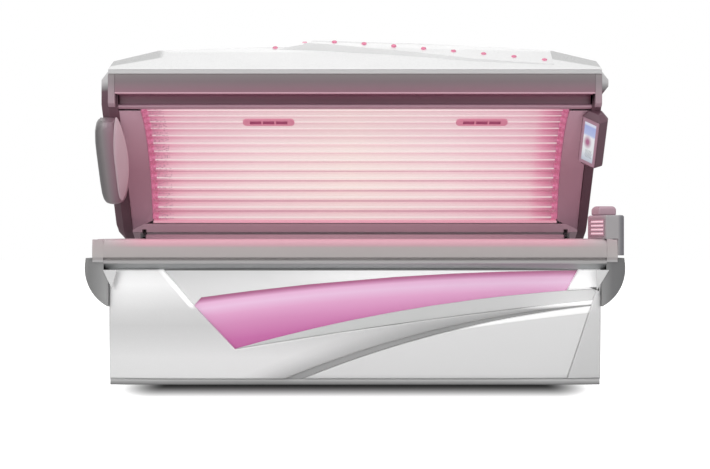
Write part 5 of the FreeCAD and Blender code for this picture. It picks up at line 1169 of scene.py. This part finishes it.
@dataclass
class Bench(Assembly):
    """The lying bench: rims, corner blocks, gussets, end caps, lamps and clear sheet."""

    edge_mm: float = 3.0
    groove_from: float = 537.0
    groove_to: float = 546.0
    groove_depth: float = 4.0
    groove_slope: float = 0.8
    groove_facing: float = 0.7
    front: float = -603.5
    front_reach: float = 40.0
    block_depth: float = 60.0
    block_low: float = 527.0
    block_high: float = 624.0
    block_sharp: float = 5.0
    gusset_front: float = -596.0
    gusset_back: float = -578.0
    gusset_edge: float = 2.5

    BLOCKS = ((-1099.5, -1053.1), (1093.1, 1139.5))
    GUSSETS = (((-1056, 494), (-996, 494), (-1018, 412)), ((1049, 494), (1105, 494), (1053, 408)))
    BACKING = ((1030.0, -548.0, 380.0), (1072.0, -540.0, 440.0))
    ROUNDED = {"bench_rear_rim": MAUVE, "bench_end_rims": RIM_GREY, "end_caps": HULL_GREY}
    KEPT = {
        "bench_end_plates": LAMP_LIT_PLATE, "bench_acrylic": CLEAR_ACRYLIC, "bench_reflector": REFLECTOR,
        "bench_lampholders": WHITE_PBT,
    }

    def build(self) -> None:
        """Makes the shown pieces."""
        self.front_rim()
        self.corner_blocks()
        self.gussets()
        self.backing()
        for node, finish in self.ROUNDED.items():
            Panel(node, finish, self.edge_mm).build(Body.BASE)
        LampRow("bench_lamps", Body.BASE, UP).build()

    def front_rim(self) -> None:
        """Cuts the shadow groove into the rim's front."""
        mesh = merged_copy("bench_front_rim")
        cut_across(mesh, (self.groove_from, self.groove_to))
        strip = []
        for face in mesh.faces:
            middle = face.calc_center_median() / MM
            level = self.groove_from < middle.z < self.groove_to
            near = middle.y < self.front + self.front_reach
            if level and near and face.normal.dot(FRONT) > self.groove_facing:
                strip.append(face)
        bmesh.ops.inset_region(mesh, faces=strip, thickness=self.groove_slope * MM,
                               depth=-self.groove_depth * MM, use_boundary=True, use_even_offset=True)
        placed("bench_front_rim", mesh, [RIM_GREY], Body.BASE)

    def corner_blocks(self) -> None:
        """Makes the blocks that close the rim's corners, rounded where they don't meet the left end rim."""
        mesh = bmesh.new()
        for left, right in self.BLOCKS:
            low = Vector((left, self.front, self.block_low))
            add_block(mesh, low, Vector((right, self.front + self.block_depth, self.block_high)))
        face_outwards(mesh)
        outer = (min(abs(x) for pair in self.BLOCKS for x in pair) + self.block_sharp) * MM
        edges = [edge for edge in mesh.edges if min(abs(vert.co.x) for vert in edge.verts) > outer]
        bevel(mesh, edges, self.edge_mm)
        placed("bench_end_rims", mesh, [RIM_GREY], Body.BASE, "rim_corner_blocks")

    def backing(self) -> None:
        """Makes the rounded plate that closes the joint of the panels behind the right gusset."""
        mesh = bmesh.new()
        add_block(mesh, *(Vector(corner) for corner in self.BACKING))
        round_edges(mesh, self.edge_mm)
        placed("front_corner_panel", mesh, [LIGHT_PANEL], Body.BASE, "corner_backing")

    def gussets(self) -> None:
        """Makes the two small three-cornered brackets under the rim's ends."""
        mesh = bmesh.new()
        for corners in self.GUSSETS:
            ring = bmesh.ops.create_circle(mesh, cap_ends=True, segments=len(corners), radius=1.0)["verts"]
            for vert, (x, z) in zip(ring, corners):
                vert.co = Vector((x, self.gusset_front, z)) * MM
            grown = bmesh.ops.extrude_face_region(mesh, geom=[ring[0].link_faces[0]], use_keep_orig=True)
            depth = Vector((0, self.gusset_back - self.gusset_front, 0)) * MM
            bmesh.ops.translate(mesh, verts=corners_in(grown), vec=depth)
        face_outwards(mesh)
        round_edges(mesh, self.gusset_edge)
        placed("front_corner_panel", mesh, [LIGHT_PANEL], Body.BASE, "rim_gussets")


@dataclass
class HeadUnit(Assembly):
    """The unit at the head end of the bench with its slotted vent."""

    edge_mm: float = 6.0
    grille_edge_mm: float = 1.0

    def build(self) -> None:
        """Makes the shown pieces."""
        for panel in (
            Panel("head_unit_housing", HEAD_GREY, self.edge_mm),
            Panel("head_unit_cap", HEAD_CAP, self.edge_mm),
            Panel("head_vent_grille", MAUVE, self.grille_edge_mm),
            Panel("head_vent_diffuser", LIT_DIFFUSER),
        ):
            panel.build(Body.BASE)


@dataclass
class CanopyShell(Assembly):
    """The canopy's covers, fascia, grip, side covers and the row of small lights."""

    edge_mm: float = 3.0
    fine_edge_mm: float = 1.0
    grip_edge_mm: float = 1.5
    inner_edge_mm: float = 2.0
    ear_from: float = 1285.0
    ear_to: float = 1325.0
    cover_slim: float = 0.24
    led_steps: int = 16
    led_flange: float = 0.3
    led_spread: float = 1.35

    # The lens from its foot to its crest: shares of its rise and of its radius.
    LED = ((0.0, 0.0), (0.0, 1.0), (0.4, 1.0), (0.62, 0.95), (0.88, 0.75), (0.98, 0.4), (1.0, 0.0))

    def build(self) -> None:
        """Makes the shown pieces."""
        for node, finish, edge_mm in (
            ("canopy_top_cover", COVER_WHITE, self.edge_mm),
            ("canopy_crown", WHITE_ABS, self.edge_mm),
            ("canopy_fascia", SATIN_FASCIA, self.fine_edge_mm),
            ("fascia_end_caps", FASCIA_END, self.edge_mm),
            ("fascia_trim_strip", TRIM_GREY, self.fine_edge_mm),
            ("grip_channel", GRIP, self.grip_edge_mm),
            ("canopy_inner_lip", MAUVE, self.inner_edge_mm),
            ("canopy_end_walls", END_WALL, self.inner_edge_mm),
            ("canopy_back_cover", WHITE_ABS, self.edge_mm),
            ("canopy_bottom_cover", MAUVE, self.inner_edge_mm),
        ):
            Panel(node, finish, edge_mm).build(Body.CANOPY)
        self.side_covers()
        self.lights()

    def side_covers(self) -> None:
        """Rounds the side covers and draws the right one in below its ear."""
        mesh = merged_copy("side_covers")
        cut_across(mesh, (self.ear_from, self.ear_to))
        back_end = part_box("canopy_back_cover")[1][0]
        outer_end = span(mesh.verts, RIGHT)[1]
        for vert in mesh.verts:
            share = min(max((self.ear_to - vert.co.z / MM) / (self.ear_to - self.ear_from), 0), 1)
            if vert.co.x > back_end:
                vert.co.x = back_end + (vert.co.x - back_end) * (1 - (1 - self.cover_slim) * share)
        round_edges(mesh, self.edge_mm)
        for vert in mesh.verts:
            vert.co.x = min(vert.co.x, outer_end)
        placed("side_covers", mesh, [SIDE_COVER], Body.CANOPY)

    def lights(self) -> None:
        """Makes the small lights of the crown: a crowned lens in a pale flange on each seat."""
        source = merged_copy("crown_leds")
        mesh = bmesh.new()
        for group in islands(source):
            faces = [face for vert in group for face in vert.link_faces]
            foot = max(faces, key=lambda face: face.calc_area())
            crest = min(faces, key=lambda face: face.normal.dot(foot.normal))
            seat = foot.calc_center_median()
            stem = crest.calc_center_median() - seat
            rise = stem.length
            radius = max((vert.co - seat).length for vert in foot.verts) * self.led_spread
            outline = [(height * rise, share * radius) for height, share in self.LED]
            fresh = spun(mesh, outline, UP, RIGHT, self.led_steps)
            for face in {face for vert in fresh for face in vert.link_faces}:
                if face.calc_center_median().z < self.led_flange * rise:
                    face.material_index = 1
            turn = UP.rotation_difference(stem).to_matrix().to_4x4()
            bmesh.ops.transform(mesh, matrix=Matrix.Translation(seat) @ turn, verts=fresh)
        source.free()
        face_outwards(mesh)
        placed("crown_leds", mesh, [LED_PINK, LED_FLANGE], Body.CANOPY)


@dataclass
class LampField(Assembly):
    """The canopy's lamps with their holders, reflector, clear sheet and air nozzles."""

    edge_mm: float = 1.0
    throat_depth: float = 1.5
    throat_height: float = 0.75
    throat_end: float = 0.5
    throat_back: float = -0.5
    nozzle_height: float = 1.45
    foot_wall: float = 1.5

    FOOT_X = (-962.0, 1002.0)
    # The foot strip from the rear to its turned-up front edge, in Y and Z.
    FOOT = ((378.0, 738.0), (333.0, 704.0), (333.0, 712.0))
    KEPT = {
        "canopy_reflector": REFLECTOR, "canopy_lampholders": WHITE_PBT, "canopy_acrylic": CLEAR_ACRYLIC,
        "canopy_end_plates": LAMP_LIT_PLATE, "canopy_frame": FRAME_STEEL,
    }

    def build(self) -> None:
        """Makes the shown pieces."""
        LampRow("canopy_lamps", Body.CANOPY, FRONT).build()
        self.nozzles()
        self.foot()

    def foot(self) -> None:
        """Makes the strip that closes the reflector under the lowest lamp, with a turned-up edge, bright with
        painted lamp light.
        """
        mesh = bmesh.new()
        rows = [[Vector((x, y, z)) * MM for x in self.FOOT_X] for y, z in self.FOOT]
        edge = mesh.edges.new([mesh.verts.new(place) for place in rows[0]])
        for row in rows[1:]:
            grown = bmesh.ops.extrude_edge_only(mesh, edges=[edge])
            edge = next(item for item in grown["geom"] if isinstance(item, bmesh.types.BMEdge))
            for vert, place in zip(sorted(edge.verts, key=lambda vert: vert.co.x), row):
                vert.co = place
        mesh.normal_update()
        bmesh.ops.solidify(mesh, geom=mesh.faces, thickness=self.foot_wall * MM)
        face_outwards(mesh)
        placed("canopy_reflector", mesh, [FIELD_FOOT], Body.CANOPY, "lamp_field_foot")

    def nozzles(self) -> None:
        """Rounds the nozzles' edges, makes them taller and gives the throats of their slots a painted shade.
        """
        mesh = merged_copy("air_nozzles")
        for group in islands(mesh):
            faces = {face for vert in group for face in vert.link_faces}
            fronts = [face for face in faces if face.normal.dot(FRONT) > ROUGHLY]
            front = max(fronts, key=lambda face: face.calc_area())
            facing = front.normal.copy()
            rise = facing.cross(RIGHT)
            level = span(group, facing)[1]
            low, high = span(group, rise)
            left, right = span(group, RIGHT)
            middle, half = (high + low) / 2, (high - low) / 2
            for face in faces:
                centre = face.calc_center_median()
                deep = level - centre.dot(facing) > self.throat_depth * MM
                inside = abs(centre.dot(rise) - middle) < self.throat_height * half
                between = left + self.throat_end * half < centre.x < right - self.throat_end * half
                # Faces deep in the slots take the painted shade.
                if deep and inside and between and face.normal.dot(facing) > self.throat_back:
                    face.material_index = 1
            for vert in group:
                vert.co += rise * (vert.co.dot(rise) - middle) * (self.nozzle_height - 1)
        round_edges(mesh, self.edge_mm, segments=2)
        placed("air_nozzles", mesh, [NOZZLE_PINK, NOZZLE_DARK], Body.CANOPY)


@dataclass
class Pods(Assembly):
    """The left pod with its lens and the right control pod with its display."""

    edge_mm: float = 10.0
    sharp_deg: float = 15.0
    segments: int = 5
    bezel_edge_mm: float = 1.5
    pod_steps: int = 40
    pod_right: float = -1046.0
    pod_right_drop: float = 22.0
    pod_end: float = 0.5
    pod_square_top: float = 4.0
    pod_square_foot: float = 6.0
    pod_roundness: float = 0.6
    lens_steps: int = 48
    lens_half_width: float = 37.0
    lens_half_length: float = 232.0
    lens_up: float = 40.0
    lens_crown: float = 9.0
    lens_sunk: float = 5.0
    lens_point: float = 0.4
    lens_lean: float = -10.0
    lens_bend: float = -22.0

    POD_SMOOTH_DEG = 80.0
    LENS_SMOOTH_DEG = 60.0
    POD_LEVELS = (-1.0, -0.985, -0.95, -0.88, -0.75, -0.5, -0.2, 0.2, 0.5, 0.75, 0.88, 0.95, 0.985, 1.0)
    LENS_RINGS = ((1.0, 0.0), (0.94, 0.45), (0.84, 0.8), (0.6, 1.0))
    LENS_WAY = Vector((0.6, -0.8, 0))
    DISPLAY_WAY = Vector((-0.6, -0.8, 0))

    def build(self) -> None:
        """Makes the shown pieces."""
        Panel("control_pod_shell", DARK_MAUVE, self.edge_mm, self.sharp_deg, self.segments,
              smooth_deg=self.POD_SMOOTH_DEG).build(Body.CANOPY)
        Panel("control_bezel", BEZEL, self.bezel_edge_mm).build(Body.CANOPY)
        source = merged_copy("left_pod_lens")
        plate = Plate.of(source, self.LENS_WAY)
        source.free()
        self.shell(plate)
        self.lens(plate)
        self.display()

    def shell(self, plate: Plate) -> None:
        """Makes the left pod's smooth shell: a barrel of rings, swelled out over a flat back.

        Args:
            plate: The frame of the lens, whose plane cuts the shell's inner side.
        """
        source = merged_copy("left_pod_shell")
        out = RIGHT.cross(plate.along)
        foot, head = span(source.verts, plate.along)
        back, front = span(source.verts, out)
        left = span(source.verts, RIGHT)[0]
        source.free()
        mesh = bmesh.new()
        bmesh.ops.create_circle(mesh, cap_ends=True, segments=self.pod_steps, radius=1.0)
        bmesh.ops.translate(mesh, verts=mesh.verts, vec=(0, 0, self.POD_LEVELS[0]))
        edges = list(mesh.edges)
        for low, high in zip(self.POD_LEVELS, self.POD_LEVELS[1:]):
            grown = bmesh.ops.extrude_edge_only(mesh, edges=edges)
            fresh = corners_in(grown)
            bmesh.ops.translate(mesh, verts=fresh, vec=(0, 0, high - low))
            edges = [item for item in grown["geom"] if isinstance(item, bmesh.types.BMEdge)
                     and all(vert in fresh for vert in item.verts)]
        bmesh.ops.contextual_create(mesh, geom=edges)
        for vert in mesh.verts:
            across, round_share, level = vert.co
            square = self.pod_square_top if level > 0 else self.pod_square_foot
            swell = max((1 - abs(level) ** square) ** (1 / square), self.pod_end)
            right = (self.pod_right - self.pod_right_drop * max(-level, 0) ** 2) * MM
            place = (left + right) / 2 + (right - left) / 2 * across * swell
            depth = back + (front - back) * swell * max(round_share, 0) ** self.pod_roundness
            height = (head + foot) / 2 + (head - foot) / 2 * level
            vert.co = RIGHT * place + plate.along * height + out * depth
            proud = (vert.co - plate.middle).dot(plate.facing)
            if proud > 0:
                vert.co -= plate.facing * proud
        face_outwards(mesh)
        placed("left_pod_shell", mesh, [POD_GREY], Body.CANOPY, smooth_deg=self.POD_SMOOTH_DEG)

    def lens(self, plate: Plate) -> None:
        """Makes the leaf-shaped lens, crowned over the place of its plate.

        Args:
            plate: The frame of the lens.
        """
        mesh = bmesh.new()
        ring = bmesh.ops.create_circle(mesh, cap_ends=True, segments=self.lens_steps, radius=1.0)["verts"]
        for vert in ring:
            width, height = vert.co.x, vert.co.y
            width *= self.lens_half_width * (1 - self.lens_point * max(height, 0) ** 2)
            vert.co = Vector((width, height * self.lens_half_length, -self.lens_sunk)) * MM
        for share, height in self.LENS_RINGS:
            edges = [edge for edge in mesh.edges if edge.is_boundary]
            for vert in corners_in(bmesh.ops.extrude_edge_only(mesh, edges=edges)):
                vert.co = Vector((vert.co.x * share, vert.co.y * share, height * self.lens_crown * MM))
        bmesh.ops.contextual_create(mesh, geom=[edge for edge in mesh.edges if edge.is_boundary])
        face_outwards(mesh)
        for vert in mesh.verts:
            low_share = max(-vert.co.y / (self.lens_half_length * MM), 0)
            vert.co += Vector((self.lens_lean + self.lens_bend * low_share ** 2, self.lens_up, 0)) * MM
        bmesh.ops.transform(mesh, matrix=plate.matrix(), verts=mesh.verts)
        placed("left_pod_lens", mesh, [POD_LENS], Body.CANOPY, smooth_deg=self.LENS_SMOOTH_DEG)

    def display(self) -> None:
        """Lays a map over the display, with its left lower corner at 0 and its right upper corner at 1."""
        mesh = merged_copy("control_display")
        plate = Plate.of(mesh, self.DISPLAY_WAY)
        layer = mesh.loops.layers.uv.new("screen")
        for face in mesh.faces:
            for loop in face.loops:
                from_middle = loop.vert.co - plate.middle
                loop[layer].uv = (0.5 + from_middle.dot(plate.across) / (2 * plate.half_width),
                                  0.5 + from_middle.dot(plate.along) / (2 * plate.half_length))
        placed("control_display", mesh, [DISPLAY], Body.CANOPY)


@dataclass
class Mechanism(Assembly):
    """The hinges and gas springs at the rear."""

    KEPT = {
        "hinge_brackets": FRAME_STEEL, "pivot_pins": PIN_STEEL, "gas_spring_cylinders": SPRING_BLACK,
        "gas_spring_rods": NITRIDED_ROD,
    }


@dataclass
class Studio:
    """The camera, the white room and its soft lights."""

    camera_at: Point = (0.020, -7.10365, 0.645)
    lens_mm: float = 77.37
    sensor_mm: float = 36.0
    floor_size: float = 60.0
    room_light: float = 0.42

    # The middle and half the size of the object's footprint, and how far the painted shadow round it reaches
    # past it.
    PAINTED_SHADOW = (("X", 0.02, 0.8, 0.23), ("Y", -0.13, 0.46, 0.6))
    FLOOR = "eeeeee"
    # The painted shadow's colour by the footprint, seen by the camera alone, and the share of the way out
    # where it has faded.
    FLOOR_PAINTED_SHADOW = "343434"
    FLOOR_CLEAR = 0.95
    FLOOR_ROUGHNESS = 0.9
    FLOOR_CELLS = 8
    # Each lamp's name, place, aim, side in metres and power in watts.
    LAMPS = (
        ("overhead", (0.0, -1.0, 4.2), (0.0, 0.0, 0.6), 5.0, 95.0),
        ("front_left", (-3.2, -5.0, 1.6), (0.0, 0.0, 0.5), 3.0, 56.0),
        ("front_right", (3.2, -5.0, 1.4), (0.0, 0.0, 0.5), 3.0, 40.0),
    )

    def build(self) -> None:
        """Makes the camera, the floor, the world and the lamps."""
        self.camera()
        self.floor()
        self.world()
        self.lamps()

    def camera(self) -> None:
        """Makes the camera, level and straight on, as the photograph was taken."""
        data = bpy.data.cameras.new("camera")
        data.lens = self.lens_mm
        data.sensor_width = self.sensor_mm
        camera = bpy.data.objects.new("camera", data)
        camera.location = self.camera_at
        camera.rotation_euler = (math.radians(90), 0, 0)
        bpy.context.scene.collection.objects.link(camera)
        bpy.context.scene.camera = camera

    def floor(self) -> None:
        """Makes a pale floor that shows white far off, and near the object a painted shadow, seen by the
        camera, over the real one.
        """
        mesh = bmesh.new()
        bmesh.ops.create_grid(mesh, x_segments=self.FLOOR_CELLS, y_segments=self.FLOOR_CELLS,
                              size=self.floor_size / 2)
        data = bpy.data.meshes.new("floor")
        mesh.to_mesh(data)
        mesh.free()
        material = bpy.data.materials.new("pale_studio_floor")
        nodes = Nodes(material)
        parts = nodes.add("SeparateXYZ", {0: nodes.spot}).node.outputs
        squares = []
        for axis, middle, half, reach in self.PAINTED_SHADOW:
            off = nodes.calc("SUBTRACT", parts[axis], middle)
            size = nodes.calc("ABSOLUTE", off)
            past = nodes.add("MapRange", {"Value": size, "From Min": half, "From Max": half + reach})
            squares.append(nodes.calc("POWER", past, 2.0))
        far = nodes.calc("ADD", *squares, use_clamp=True)
        shadow = set_stops(nodes.add("ValToRGB", {"Fac": far}),
                           ((0.0, linear(self.FLOOR_PAINTED_SHADOW)), (self.FLOOR_CLEAR, linear(self.FLOOR))))
        seen = nodes.add("LightPath", out="Is Camera Ray")
        nodes.feed(nodes.shader, {
            "Base Color": nodes.mix(seen, linear(self.FLOOR), shadow),
            "Roughness": self.FLOOR_ROUGHNESS,
            "Specular IOR Level": 0.0,
            "Emission Color": WHITE,
            "Emission Strength": nodes.calc("MULTIPLY", seen, far),
        })
        data.materials.append(material)
        floor = bpy.data.objects.new("floor", data)
        bpy.context.scene.collection.objects.link(floor)

    def world(self) -> None:
        """Makes a white room: full white to the eye, a plain level as light."""
        world = bpy.data.worlds.new("white_room")
        bpy.context.scene.world = world
        nodes = Nodes(world, "Background")
        rays = nodes.add("LightPath").node.outputs
        clear = rays["Is Camera Ray"]
        for kind in ("Is Glossy Ray", "Is Transmission Ray"):
            clear = nodes.calc("MAXIMUM", clear, rays[kind])
        strength = nodes.add("MapRange", {"Value": clear, "To Min": self.room_light, "To Max": 1.0})
        nodes.feed(nodes.shader, {"Color": WHITE, "Strength": strength})

    def lamps(self) -> None:
        """Makes the soft square lamps."""
        for name, place, aim, size, power in self.LAMPS:
            data = bpy.data.lights.new(name, "AREA")
            data.size = size
            data.energy = power
            lamp = bpy.data.objects.new(name, data)
            lamp.location = place
            lamp.rotation_euler = (Vector(aim) - Vector(place)).to_track_quat("-Z", "Y").to_euler()
            bpy.context.scene.collection.objects.link(lamp)


def main() -> None:
    """Builds the capsule and its studio."""
    logging.basicConfig(level=logging.INFO, format="%(message)s")
    bpy.context.scene.view_settings.view_transform = "Standard"
    Studio().build()
    for assembly in (Base(), Bench(), HeadUnit(), CanopyShell(), LampField(), Pods(), Mechanism()):
        assembly.build()
        assembly.dress()


if __name__ == "__main__":
    main()
